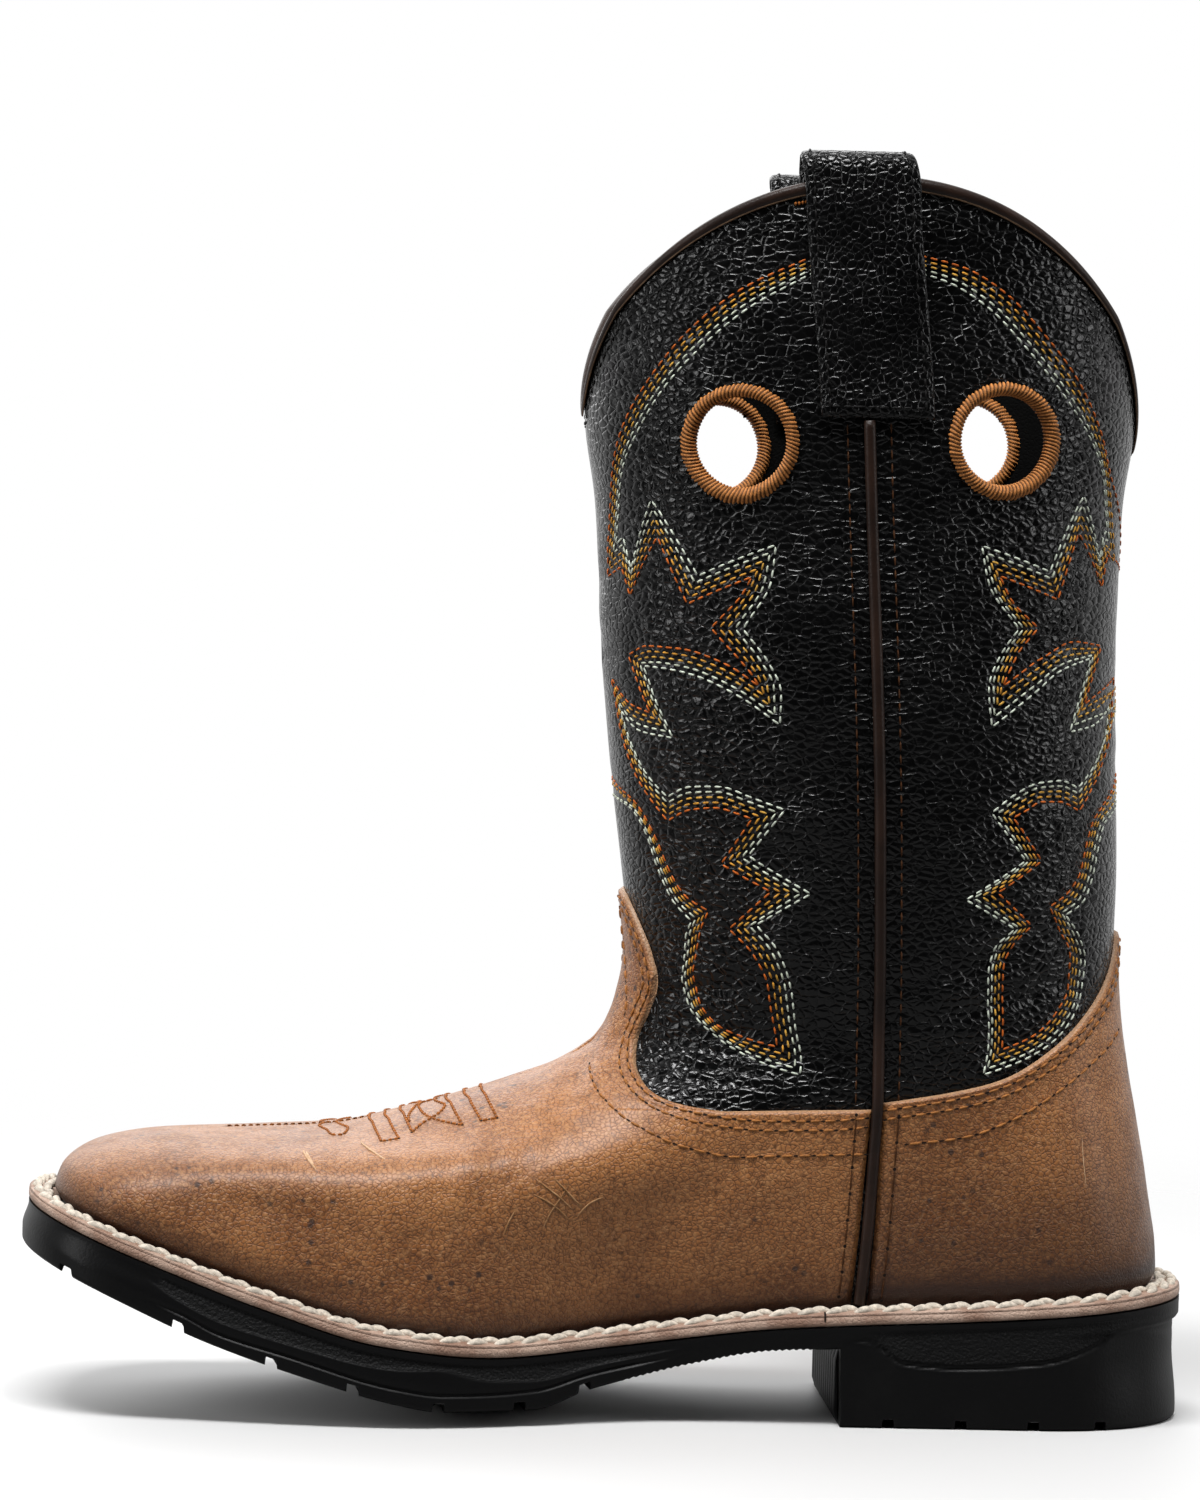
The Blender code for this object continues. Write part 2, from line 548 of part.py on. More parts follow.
def make_outsole(collection, cutters):
    """Moulded unit with heel: side rows carry the panel and groove, and channels cross the tread."""
    theta = paired_columns((HEEL_BREAST, HEEL_BREAST + 0.3, 66, 134, -122, -112, -44, -30, -21, 0, 22))
    plan = outline(theta, np.full(len(theta), WELT_WIDTH))
    x = plan[:, 0]
    side = {name: smooth(x, *np.array(SIDE_LINES).T[[0, k]]) for k, name in enumerate(SIDE) if k}
    heel = np.cos(theta) > math.cos(theta_at(HEEL_BREAST + 0.15, 0.0))
    top, floor = base(x), tread_height(x, 1.0, heel)
    lip = np.minimum(1.0 / (top - floor) * 1.6, 0.12)
    panel, groove = side["panel"], side["groove"]
    fine = 0.9 / (top - floor)
    foot = 1 - 1.6 / (top - floor)
    swell, zero = side["swell"], 0 * x
    rows = (
        (zero, zero), (lip, 0.3 * swell * (swell > 0)),
        (lip + fine, 0.4 * swell - side["panel_cut"]), (panel - fine, 0.7 * swell - side["panel_cut"]),
        (panel, 0.8 * swell), (groove - fine, swell),
        (groove, swell - side["groove_cut"]), (groove + fine, swell),
        (foot, swell * (1 - 0.8 * heel)), (zero + 1, swell * (1 - 0.8 * heel) - 1.5),
    )
    points = []
    for share, offset in rows:
        ring = outline(theta, WELT_WIDTH + offset)
        ring[:, 2] = top - (top - floor) * share
        points.append(ring)
    points = np.stack(points)
    upper_cap = make_cap(points[0], 5, lambda x, aside: base(x))
    heel_rows = heel[: len(theta) // 2 + 1, None]
    lower_cap = make_cap(points[-1], 9, lambda x, aside: tread_height(x, aside, heel_rows))
    outsole = add_slab("outsole", points, upper_cap, lower_cap, collection, RUBBER_BLACK)
    for x in FORE_CHANNELS + HEEL_CHANNELS:
        cut(outsole, add_channel(f"channel_{x:+.0f}", x, cutters))
    return outsole


def add_channel(name, x, collection):
    """Bar that cuts one channel across the tread and follows its crown."""
    y = np.linspace(-1, 1, 9)
    reach = 70.0
    half = float(np.interp(x, (-156, -120, -60, 20, 60, 160), (44, 50, 56, 44, 38, 40)))
    aside = np.clip(np.abs(y) * reach / half, 0, 1)
    heel = x > HEEL_BREAST
    slope = (tread_height(x + 1, 1.0, heel) - tread_height(x - 1, 1.0, heel)) / 2
    lean = np.array([-slope, 0, 1]) / math.hypot(slope, 1)
    run = np.array([1, 0, slope]) / math.hypot(slope, 1)
    middle = np.stack([0 * y + x, y * reach, tread_height(0 * y + x, aside, heel)], -1)
    corners = ((-0.5, -8.0), (0.5, -8.0), (0.36, CHANNEL_DEPTH), (-0.36, CHANNEL_DEPTH))
    points = np.stack([middle + run * w * CHANNEL_WIDTH + lean * h for w, h in corners], 1)
    count = len(corners)
    faces = grid_faces(len(y), count, wrap_columns=True).tolist()
    last = (len(y) - 1) * count
    faces += [list(range(count))[::-1], list(range(last, last + count))]
    return add_mesh(name, points.reshape(-1, 3), [face[::-1] for face in faces], collection)


def make_insole(collection):
    """Flat board with the last's plan, on the outsole inside the upper."""
    theta = paired_columns()
    inset = -(WALL + FIT + 0.9)
    points = []
    for offset, height in ((inset - 0.6, SEAT + INSOLE), (inset, SEAT + INSOLE - 0.6), (inset, SEAT)):
        ring = outline(theta, np.full(len(theta), offset))
        ring[:, 2] = base(ring[:, 0]) + height
        points.append(ring)
    top = make_cap(points[0], 5, lambda x, aside: base(x) + SEAT + INSOLE)
    bottom = make_cap(points[-1], 5, lambda x, aside: base(x) + SEAT)
    return add_slab("insole", np.stack(points), top, bottom, collection, LINING_TAN)


def main():
    for obj in list(bpy.data.objects):
        bpy.data.objects.remove(obj, do_unlink=True)
    scene = bpy.context.scene
    boot = bpy.data.collections.new("western_boot")
    cutters = bpy.data.collections.new("cutters")
    for collection in (boot, cutters):
        scene.collection.children.link(collection)
    make_upper(boot, cutters)
    make_outsole(boot, cutters)
    make_welt(boot)
    make_insole(boot)
    make_overlay("vamp", VAMP_LINE, True, boot, cutters)
    make_overlay("counter", COUNTER_LINE, False, boot, cutters)
    make_binding(boot)
    for side, name in ((1, "medial"), (-1, "lateral")):
        make_piping(f"piping_{name}", side, boot)
        make_strap(f"pull_strap_{name}", side, boot)
        for place, x, z in HOLES:
            make_hole_ring(f"hole_ring_{place}_{name}", x, z, side, boot)
    for cutter in cutters.objects:
        cutter.hide_render = True
        cutter.display_type = "WIRE"


main()
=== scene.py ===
# %% [markdown]
# # Dressing a western boot
#
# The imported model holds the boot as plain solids. This lesson keeps their sizes and gives them their
# leather, thread and rubber. The new surfaces are worked out with numpy from one last, the foot form
# that a bootmaker works over. Its sections and the lines of the stitches were read from a photo.

# %% Load the frame
import math

import bpy
import numpy as np
from mathutils import Matrix


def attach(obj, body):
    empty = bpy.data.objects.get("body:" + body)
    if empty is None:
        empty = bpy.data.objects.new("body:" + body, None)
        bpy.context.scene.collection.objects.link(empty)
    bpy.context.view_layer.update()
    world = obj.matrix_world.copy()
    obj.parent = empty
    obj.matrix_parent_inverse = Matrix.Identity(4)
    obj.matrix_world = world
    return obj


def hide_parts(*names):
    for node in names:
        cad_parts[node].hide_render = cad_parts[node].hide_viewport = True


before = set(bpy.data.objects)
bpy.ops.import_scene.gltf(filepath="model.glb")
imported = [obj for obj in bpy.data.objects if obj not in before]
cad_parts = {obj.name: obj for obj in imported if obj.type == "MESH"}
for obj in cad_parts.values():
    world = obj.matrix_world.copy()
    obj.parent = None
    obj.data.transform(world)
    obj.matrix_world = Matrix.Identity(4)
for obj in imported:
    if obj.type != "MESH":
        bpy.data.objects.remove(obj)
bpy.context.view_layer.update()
MM = 0.001
PIECES = []

# %% [markdown]
# ## The last
#
# A last can be lofted through sections by hand, or written as a function of two numbers. The function
# is used here: `theta` goes round the boot from the heel by the inner side to the toe and back, and
# `level` climbs from the sole to the collar. Each row of the table is one section, seen from the side.
# All sizes are in millimetres until a mesh is made.

# %% Sizes and sections of the last
LAST_LENGTH, BALL_WIDTH, HEEL_END = 288.7, 95.0, 144.6
COLLAR_SIDE, COLLAR_FRONT, COLLAR_BACK = 323.0, 264.0, 258.0
TOE_SLANT, CENTRE_Y = 0.07, -0.5
HEEL_POWER, TOE_POWER, TOE_SQUARING = 2.1, 2.15, 0.35       # of the rounded ends; the toe is squarer low down
SQUARE_FADE, FOOT_FADE, SAG_FADE, SLANT_FADE = (0, 5), (6, 12), (1, 9), (-120, -20)
SAG_POWER = 1.2
STEP = 1e-3                         # small step for slopes of the surface
WALL, OVERLAY, OVERLAY_FIT, FIT, SEAT = 2.0, 1.2, 0.55, 0.3, 0.5
WELT_WIDTH, WALL_FOOT = 8.2, 5.2
# Front, rear and rounding are shares of the length, the four widths shares of the ball's width.
SECTION = ("front", "front_z", "rear", "rear_z",
           "heel", "waist", "ball", "toe", "rear_round", "front_round")
SECTIONS = (
    (0.995, 60.5, 0.002, 46.5, 0.695, 0.735, 1.04, 0.83, 0.114, 0.094),
    (0.972, 65.7, 0.006, 53.5, 0.705, 0.770, 1.04, 0.82, 0.116, 0.118),
    (0.918, 68.9, 0.010, 60.0, 0.705, 0.790, 1.01, 0.84, 0.118, 0.180),
    (0.840, 69.9, 0.014, 67.0, 0.705, 0.800, 0.96, 0.84, 0.125, 0.229),
    (0.761, 71.1, 0.019, 74.5, 0.705, 0.800, 0.89, 0.80, 0.132, 0.263),
    (0.683, 76.2, 0.024, 82.0, 0.705, 0.800, 0.82, 0.76, 0.139, 0.284),
    (0.610, 82.6, 0.029, 89.0, 0.705, 0.800, 0.79, 0.74, 0.149, 0.284),
    (0.548, 89.4, 0.033, 95.5, 0.715, 0.800, 0.78, 0.74, 0.159, 0.277),
    (0.510, 97.4, 0.037, 102.5, 0.735, 0.810, 0.79, 0.76, 0.173, 0.267),
    (0.494, 108.5, 0.040, 110.0, 0.770, 0.830, 0.82, 0.80, 0.194, 0.246),
    (0.488, 120.5, 0.042, 120.5, 0.820, 0.855, 0.86, 0.84, 0.215, 0.229),
    (0.497, 142.0, 0.041, 142.0, 0.895, 0.895, 0.90, 0.90, 0.222, 0.232),
    (0.510, 169.5, 0.044, 169.5, 0.947, 0.947, 0.95, 0.95, 0.229, 0.236),
    (0.521, 201.0, 0.048, 201.0, 0.990, 0.990, 0.99, 0.99, 0.232, 0.239),
    (0.530, 238.0, 0.046, 238.0, 1.020, 1.020, 1.02, 1.02, 0.239, 0.243),
    (0.542, 262.0, 0.037, 262.0, 1.053, 1.053, 1.05, 1.05, 0.250, 0.253),
    (0.545, 290.0, 0.035, 290.0, 1.063, 1.063, 1.06, 1.06, 0.253, 0.256),
    (0.545, 330.0, 0.035, 330.0, 1.063, 1.063, 1.06, 1.06, 0.253, 0.256),
)
FEATHER = (0.66, 0.68, 1.00, 0.80, 0.111, 0.090)            # widths and rounding at the sole
WIDTH_AT = (0.15, 0.45, 0.70, 1.00)
BASE_LINE = ((-156, 54.5), (-120, 40.2), (-90, 29.3), (-60, 20.7), (-30, 17.6), (0, 19.8), (45, 25.2),
             (100, 28.2), (156, 32.6))
SEAM_LINE = ((37, 63.6), (86, 67.0), (148, 65.4), (259, 58.9), (330, 55.0))
SWING = ((-145, -4.5), (-60, 0.5), (10, 3.0), (60, 1.0), (150, 0.0))


def smooth(at, xs, ys):
    """Cubic through (xs, ys) whose slopes are harmonic means of the neighbours', so it never overshoots."""
    xs, ys, at = np.asarray(xs, float), np.asarray(ys, float), np.asarray(at, float)
    steps = np.diff(xs)
    slopes = np.diff(ys) / steps
    before, after = slopes[:-1], slopes[1:]
    product = before * after
    inner = np.where(product > 0, 2 * product / np.where(product > 0, before + after, 1), 0)
    tangents = np.concatenate([slopes[:1], inner, slopes[-1:]])
    at = np.clip(at, xs[0], xs[-1])
    i = np.clip(np.searchsorted(xs, at) - 1, 0, len(steps) - 1)
    s = (at - xs[i]) / steps[i]
    rise = (3 - 2 * s) * s**2
    bend = s * (1 - s) * steps[i]
    return ys[i] * (1 - rise) + ys[i + 1] * rise + bend * ((1 - s) * tangents[i] - s * tangents[i + 1])


def on_line(line, at):
    """Second value of a line's points, read at its first value."""
    xs, ys = zip(*line)
    return smooth(at, xs, ys)


def section_table():
    """One array for each column, with the two straight rows at the sole put first."""
    front, rear = HEEL_END - LAST_LENGTH, HEEL_END
    rows = [(1.0, on_line(BASE_LINE, front) + rise, 0.0, on_line(BASE_LINE, rear) + rise) + FEATHER
            for rise in (SEAT, WALL_FOOT)]
    columns = dict(zip(SECTION, np.array(rows + list(SECTIONS)).T))
    for name in ("front", "rear"):
        columns[name] = HEEL_END - columns[name] * LAST_LENGTH
    for name in ("heel", "waist", "ball", "toe"):
        columns[name] = columns[name] * BALL_WIDTH / 2
    for name in ("rear_round", "front_round"):
        columns[name] = columns[name] * LAST_LENGTH
    return columns


TABLE = section_table()
LEVELS = np.arange(len(TABLE["front"]))
print(f"{len(LEVELS)} sections, the highest at {TABLE['rear_z'][-1]:.0f} mm")

# %% The last as a function of two numbers
def round_end(distance, reach, power):
    """Share of the full width at a distance from a section's end: (1 - (1 - d/reach)^p)^(1/p)."""
    inward = 1 - np.clip(distance / reach, 0, 1)
    return (1 - inward**power) ** (1 / power)


def fall(value, low, high):
    """1 up to low, then a straight fall to 0 at high."""
    return np.clip((high - value) / (high - low), 0, 1)


def last_surface(theta, level):
    """x runs from rear to front by (1 - cos theta)/2; y is the width there, eased between four widths
    and rounded at both ends; z is drawn between rear and front heights, sagging with the sole."""
    theta, level = np.broadcast_arrays(np.asarray(theta, float), np.asarray(level, float))
    row = {name: smooth(level, LEVELS, column) for name, column in TABLE.items()}
    along = (1 - np.cos(theta)) / 2
    x = row["rear"] + (row["front"] - row["rear"]) * along
    nodes = np.stack([row["heel"], row["heel"], row["waist"], row["ball"], row["toe"]])
    stops = np.array((0.0,) + WIDTH_AT)
    i = np.clip(np.searchsorted(stops, along) - 1, 0, len(WIDTH_AT) - 1)
    s = (along - stops[i]) / (stops[i + 1] - stops[i])
    ease = (3 - 2 * s) * s**2
    low = np.take_along_axis(nodes, i[None], 0)[0]
    high = np.take_along_axis(nodes, i[None] + 1, 0)[0]
    square = TOE_POWER + TOE_SQUARING * fall(level, *SQUARE_FADE)
    width = (low * (1 - ease) + high * ease) * round_end(row["rear"] - x, row["rear_round"], HEEL_POWER)
    width = width * round_end(x - row["front"], row["front_round"], square)
    foot = fall(level, *FOOT_FADE)
    y = on_line(SWING, x) * foot - np.sign(np.sin(theta)) * width
    x = x + TOE_SLANT * y * foot * fall(x, *SLANT_FADE)
    ends = on_line(BASE_LINE, row["rear"]) * (1 - along) + on_line(BASE_LINE, row["front"]) * along
    sag = fall(level, *SAG_FADE) ** SAG_POWER
    z = row["rear_z"] + (row["front_z"] - row["rear_z"]) * along + sag * (on_line(BASE_LINE, x) - ends)
    return np.stack([x, y + CENTRE_Y, z], -1)


def unit(vectors):
    """Each vector divided by its length."""
    return vectors / np.maximum(np.linalg.norm(vectors, axis=-1, keepdims=True), 1e-9)


def outward(theta, level):
    """Unit normal: the cross product of short steps up and round the surface."""
    level = np.asarray(level, float)
    climb = last_surface(theta, level + STEP) - last_surface(theta, level - STEP)
    turn = last_surface(theta + STEP, level) - last_surface(theta - STEP, level)
    return unit(np.cross(climb, turn))


def theta_at(x, level):
    """Angle on the inner side at which the section at this level passes x."""
    rear, front = (smooth(level, LEVELS, TABLE[name]) for name in ("rear", "front"))
    return np.arccos(1 - 2 * np.clip((rear - x) / (rear - front), 0, 1))


def seam_theta(level):
    """Angle of the inner side seam at each level."""
    rear_z, front_z = (smooth(level, LEVELS, TABLE[name]) for name in ("rear_z", "front_z"))
    return theta_at(on_line(SEAM_LINE, (rear_z + front_z) / 2), level)


SCALLOP_BLUNT, SCALLOP_POWER = 0.08, 0.9


def collar_level(theta):
    """Level of the scalloped edge. It climbs from the dips at front and back to the seams as a power of
    |sin theta|, which is blunted by hypot(sin, b) so that the dips are round and not pointed."""
    blunted = np.hypot(np.sin(theta), SCALLOP_BLUNT) - SCALLOP_BLUNT
    climb = blunted / (math.hypot(1, SCALLOP_BLUNT) - SCALLOP_BLUNT)
    dip = np.where(np.cos(theta) < 0, COLLAR_FRONT, COLLAR_BACK)
    return np.interp(dip + (COLLAR_SIDE - dip) * climb**SCALLOP_POWER, TABLE["rear_z"], LEVELS)


print(f"the last's heel end is at {last_surface(0.0, 0.0)} and its toe at {last_surface(math.pi, 0.0)}")

# %% [markdown]
# ## The camera, and a way from the photo to the leather
#
# The photo was taken from the inner side, nearly level, with a long lens. The camera comes first
# because stitches and creases are read off the photo: Newton's method finds the place on the last
# that a pixel shows, so the thread sits on the leather and stays there from any other side.

# %% Camera
PHOTO_SIZE = np.array([1200.0, 1500.0])
TARGET = np.array([-5.5, 0.0, 173.4])
DISTANCE, FOCAL, SENSOR = 1500.0, 169.65, 36.0
YAW, RISE, ROLL = (math.radians(angle) for angle in (3.0, 2.0, 1.5))

back = np.array([-math.sin(YAW) * math.cos(RISE), -math.cos(YAW) * math.cos(RISE), math.sin(RISE)])
flat_right = unit(np.cross((0, 0, 1), back))
flat_up = np.cross(back, flat_right)
right = flat_right * math.cos(ROLL) + flat_up * math.sin(ROLL)
up = flat_up * math.cos(ROLL) - flat_right * math.sin(ROLL)
eye = TARGET + back * DISTANCE

camera_data = bpy.data.cameras.new("photo camera")
camera_data.sensor_fit = "HORIZONTAL"
camera_data.sensor_width = SENSOR
camera_data.lens = FOCAL
camera = bpy.data.objects.new("photo camera", camera_data)
turn = Matrix(np.stack([right, up, back], 1).tolist()).to_4x4()
camera.matrix_world = Matrix.Translation((eye * MM).tolist()) @ turn
bpy.context.scene.collection.objects.link(camera)
bpy.context.scene.camera = camera
print(f"camera at {np.round(eye)} mm, lens {FOCAL} mm")

# %% From a pixel, or from a side view, to the last
START_ANGLES, START_LEVELS = np.linspace(0, math.pi, 90), np.linspace(0.2, 18.6, 160)
NEWTON_STEPS, LONGEST_TURN, LONGEST_CLIMB = 10, 0.15, 0.5
CHECK_PIXEL = (776, 545)


def in_photo(points):
    """Pixel of each point: its offsets along the image axes, over its depth, times the lens."""
    ray = points - eye
    scale = FOCAL / SENSOR * PHOTO_SIZE[0] / -(ray @ back)
    return PHOTO_SIZE / 2 + np.stack([ray @ right * scale, -(ray @ up) * scale], -1)


def in_side_view(points):
    """x and z of each point."""
    return points[..., (0, 2)]


def find_on_last(view, goal):
    """theta and level on the inner side at which view(last_surface) meets goal. It starts from the
    nearest of a coarse grid, then takes Newton steps: miss divided by the two by two slope matrix.
    A goal just off the boot's outline keeps its start, which lies on the outline."""
    goal = np.atleast_2d(np.asarray(goal, float))
    grid_theta, grid_level = np.meshgrid(START_ANGLES, START_LEVELS)
    seen = view(last_surface(grid_theta, grid_level)).reshape(-1, 2)
    away = np.linalg.norm(seen[None] - goal[:, None], axis=-1)
    nearest = away.argmin(1)
    start = theta, level = grid_theta.ravel()[nearest], grid_level.ravel()[nearest]
    for _ in range(NEWTON_STEPS):
        here = view(last_surface(theta, level))
        by_theta = (view(last_surface(theta + STEP, level)) - here) / STEP
        by_level = (view(last_surface(theta, level + STEP)) - here) / STEP
        miss = goal - here
        area = by_theta[:, 0] * by_level[:, 1] - by_theta[:, 1] * by_level[:, 0]
        area = np.where(np.abs(area) < 1, np.copysign(1, area), area)
        turn = (miss[:, 0] * by_level[:, 1] - miss[:, 1] * by_level[:, 0]) / area
        climb = (by_theta[:, 0] * miss[:, 1] - by_theta[:, 1] * miss[:, 0]) / area
        theta = np.clip(theta + np.clip(turn, -LONGEST_TURN, LONGEST_TURN), 0, math.pi)
        level = np.clip(level + np.clip(climb, -LONGEST_CLIMB, LONGEST_CLIMB), 0, LEVELS[-1])
    worse = np.linalg.norm(view(last_surface(theta, level)) - goal, axis=1) > away.min(1)
    return np.where(worse, start[0], theta), np.where(worse, start[1], level)


print(f"pixel {CHECK_PIXEL} lies at {last_surface(*find_on_last(in_photo, CHECK_PIXEL)).round(1)} mm")

# %% [markdown]
# ## Meshes from arrays
#
# Blender takes a mesh as points and faces. A grid of points needs only a rule for its faces, so one
# helper makes every sheet, ring and cord below. Each piece is kept in a list with the solid that it
# stands for and the finish it takes.

# %% Mesh helpers
def grid_faces(rows, columns, wrap_rows=False, wrap_columns=False):
    """Quads of a grid stored row after row: each joins a point, its right neighbour and the two above."""
    i = np.arange(rows if wrap_rows else rows - 1)[:, None]
    j = np.arange(columns if wrap_columns else columns - 1)[None, :]
    i, j = np.broadcast_arrays(i, j)
    up_row, right_column = (i + 1) % rows, (j + 1) % columns
    corners = [i * columns + j, i * columns + right_column,
               up_row * columns + right_column, up_row * columns + j]
    return np.stack(corners, -1).reshape(-1, 4)


def put_piece(name, points, faces, material, slot, nodes=(), attributes=None):
    """Object from points in millimetres, joined to the list of pieces."""
    mesh = bpy.data.meshes.new(name)
    mesh.from_pydata((points.reshape(-1, 3) * MM).tolist(), [], faces.tolist())
    mesh.shade_smooth()
    for label, values in (attributes or {}).items():
        layer = mesh.attributes.new(label, "FLOAT", "POINT")
        layer.data.foreach_set("value", np.ascontiguousarray(values, np.float32).ravel())
    mesh.materials.append(material)
    piece = bpy.data.objects.new(name, mesh)
    bpy.context.scene.collection.objects.link(piece)
    PIECES.append((piece, slot, nodes))
    print(f"{name}: {len(mesh.vertices)} points, {len(mesh.polygons)} faces")
    return piece


def ramp(value, low, high):
    """Smooth step from 0 at low to 1 at high."""
    s = np.clip((value - low) / (high - low), 0, 1)
    return s * s * (3 - 2 * s)


# %% [markdown]
# ## Shader helpers and shared effects
#
# Leather grain, cloudy colour and fine scratches turn up on several materials, so each is a node group
# with named sockets. A group works in metres on Object coordinates, which fixes the pattern to the
# boot. It gives out only values that vary; the Principled shader stays in each material.

# %% Node helpers
MIX_SHARE, MIX_FIRST, MIX_SECOND, MIX_RESULT = 0, 6, 7, 2   # numbers of the Mix node's colour sockets


def feed(tree, socket, value):
    """Links an input to the socket that it is given, or sets it to any other value."""
    if isinstance(value, bpy.types.NodeSocket):
        tree.links.new(value, socket)
    else:
        socket.default_value = value


def add_node(tree, kind, inputs=None, **settings):
    """Node with its settings and inputs."""
    made = tree.nodes.new("ShaderNode" + kind)
    for key, value in settings.items():
        setattr(made, key, value)
    for key, value in (inputs or {}).items():
        feed(tree, made.inputs[key], value)
    return made


def new_group(name, inputs, outputs):
    """Empty group with named sockets; returns its tree, the sockets it reads and its output node."""
    group = bpy.data.node_groups.new(name, "ShaderNodeTree")
    for label, kind, value in inputs:
        socket = group.interface.new_socket(label, in_out="INPUT", socket_type="NodeSocket" + kind)
        if value is not None:
            socket.default_value = value
    for label, kind in outputs:
        group.interface.new_socket(label, in_out="OUTPUT", socket_type="NodeSocket" + kind)
    return group, group.nodes.new("NodeGroupInput").outputs, group.nodes.new("NodeGroupOutput")


def use_group(tree, group, inputs):
    """The group placed in a material with its own values."""
    return add_node(tree, "Group", inputs, node_tree=group).outputs


def mix_colour(tree, share, first, second):
    """Colour between two others; each may be a socket or plain numbers."""
    made = add_node(tree, "Mix", {MIX_SHARE: share}, data_type="RGBA")
    for socket, value in ((MIX_FIRST, first), (MIX_SECOND, second)):
        feed(tree, made.inputs[socket], (*value, 1) if isinstance(value, tuple) else value)
    return made.outputs[MIX_RESULT]


def calculate(tree, operation, *values):
    """Math node on sockets or numbers."""
    return add_node(tree, "Math", dict(enumerate(values)), operation=operation).outputs[0]


def remap(tree, value, low, high, to_low=0.0, to_high=1.0):
    """Map Range node, clamped and smooth."""
    inputs = {"Value": value, "From Min": low, "From Max": high, "To Min": to_low, "To Max": to_high}
    return add_node(tree, "MapRange", inputs, interpolation_type="SMOOTHSTEP").outputs[0]


# %% Pebbled grain
BEND_SCALE, FINE_SCALE, SWELL_SCALE = 0.55, 2.1, 0.3        # against the number of cells
COARSE_EDGE, FINE_EDGE, VALLEY_EDGE = 0.36, 0.3, 0.12       # widths of the slopes, in cells
COARSE_HEIGHT, FINE_HEIGHT, SWELL_HEIGHT = 0.95, 0.07, 0.5


def pillow(tree, distance, reach):
    """Rises steeply from a cell's edge and rounds off: t (2 - t), t being the distance over its reach."""
    share = calculate(tree, "MINIMUM", calculate(tree, "DIVIDE", distance, reach), 1.0)
    return calculate(tree, "MULTIPLY", share, calculate(tree, "SUBTRACT", 2.0, share))


def make_pebbles():
    """Height of tumbled leather: cells of a Voronoi pattern with pillowed tops, bent by noise, and a
    finer set of cells on them. Flatten above 1 makes the cells lie wider than tall."""
    tree, given, result = new_group(
        "pebbled grain",
        (("Place", "Vector", None), ("Cells", "Float", 300.0),
         ("Flatten", "Float", 1.5), ("Bend", "Float", 0.5)),
        (("Height", "Float"), ("Valley", "Float")),
    )
    stretch = add_node(tree, "CombineXYZ", {"X": 1.0, "Y": 1.0, "Z": given["Flatten"]}).outputs[0]
    place = add_node(tree, "VectorMath", {0: given["Place"], 1: stretch}, operation="MULTIPLY").outputs[0]
    scale, finer, swell_scale = (calculate(tree, "MULTIPLY", given["Cells"], part)
                                 for part in (BEND_SCALE, FINE_SCALE, SWELL_SCALE))
    noise = add_node(tree, "TexNoise", {"Vector": place, "Scale": scale, "Detail": 2.0}).outputs["Color"]
    centred = add_node(tree, "VectorMath", {0: noise, 1: (0.5, 0.5, 0.5)}, operation="SUBTRACT").outputs[0]
    reach = calculate(tree, "DIVIDE", given["Bend"], given["Cells"])
    bend = add_node(tree, "VectorMath", {0: centred, "Scale": reach}, operation="SCALE").outputs[0]
    bent = add_node(tree, "VectorMath", {0: place, 1: bend}, operation="ADD").outputs[0]
    coarse, fine = (add_node(tree, "TexVoronoi", {"Vector": bent, "Scale": cells},
                             feature="DISTANCE_TO_EDGE").outputs["Distance"]
                    for cells in (given["Cells"], finer))
    swell = add_node(tree, "TexNoise", {"Vector": place, "Scale": swell_scale, "Detail": 1.0}).outputs["Fac"]
    height = calculate(tree, "MULTIPLY", pillow(tree, coarse, COARSE_EDGE), COARSE_HEIGHT)
    height = calculate(tree, "MULTIPLY_ADD", pillow(tree, fine, FINE_EDGE), FINE_HEIGHT, height)
    height = calculate(tree, "MULTIPLY_ADD", swell, SWELL_HEIGHT, height)
    tree.links.new(height, result.inputs["Height"])
    tree.links.new(remap(tree, coarse, VALLEY_EDGE, 0.0), result.inputs["Valley"])
    return tree


PEBBLES = make_pebbles()
print("group:", PEBBLES.name)

# %% Cloudy colour and scratches
def make_clouds():
    """Soft patches: noise with five finer octaves, pushed apart to a mask from 0 to 1."""
    tree, given, result = new_group(
        "clouds",
        (("Place", "Vector", None), ("Patches", "Float", 30.0),
         ("Low", "Float", 0.35), ("High", "Float", 0.65)),
        (("Mask", "Float"),),
    )
    noise = add_node(tree, "TexNoise", {"Vector": given["Place"], "Scale": given["Patches"],
                                        "Detail": 5.0, "Roughness": 0.6}).outputs["Fac"]
    tree.links.new(remap(tree, noise, given["Low"], given["High"]), result.inputs["Mask"])
    return tree


SCRATCH_STRETCH, SCRATCH_CREST = (0.03, 0.3, 1.0), 0.86


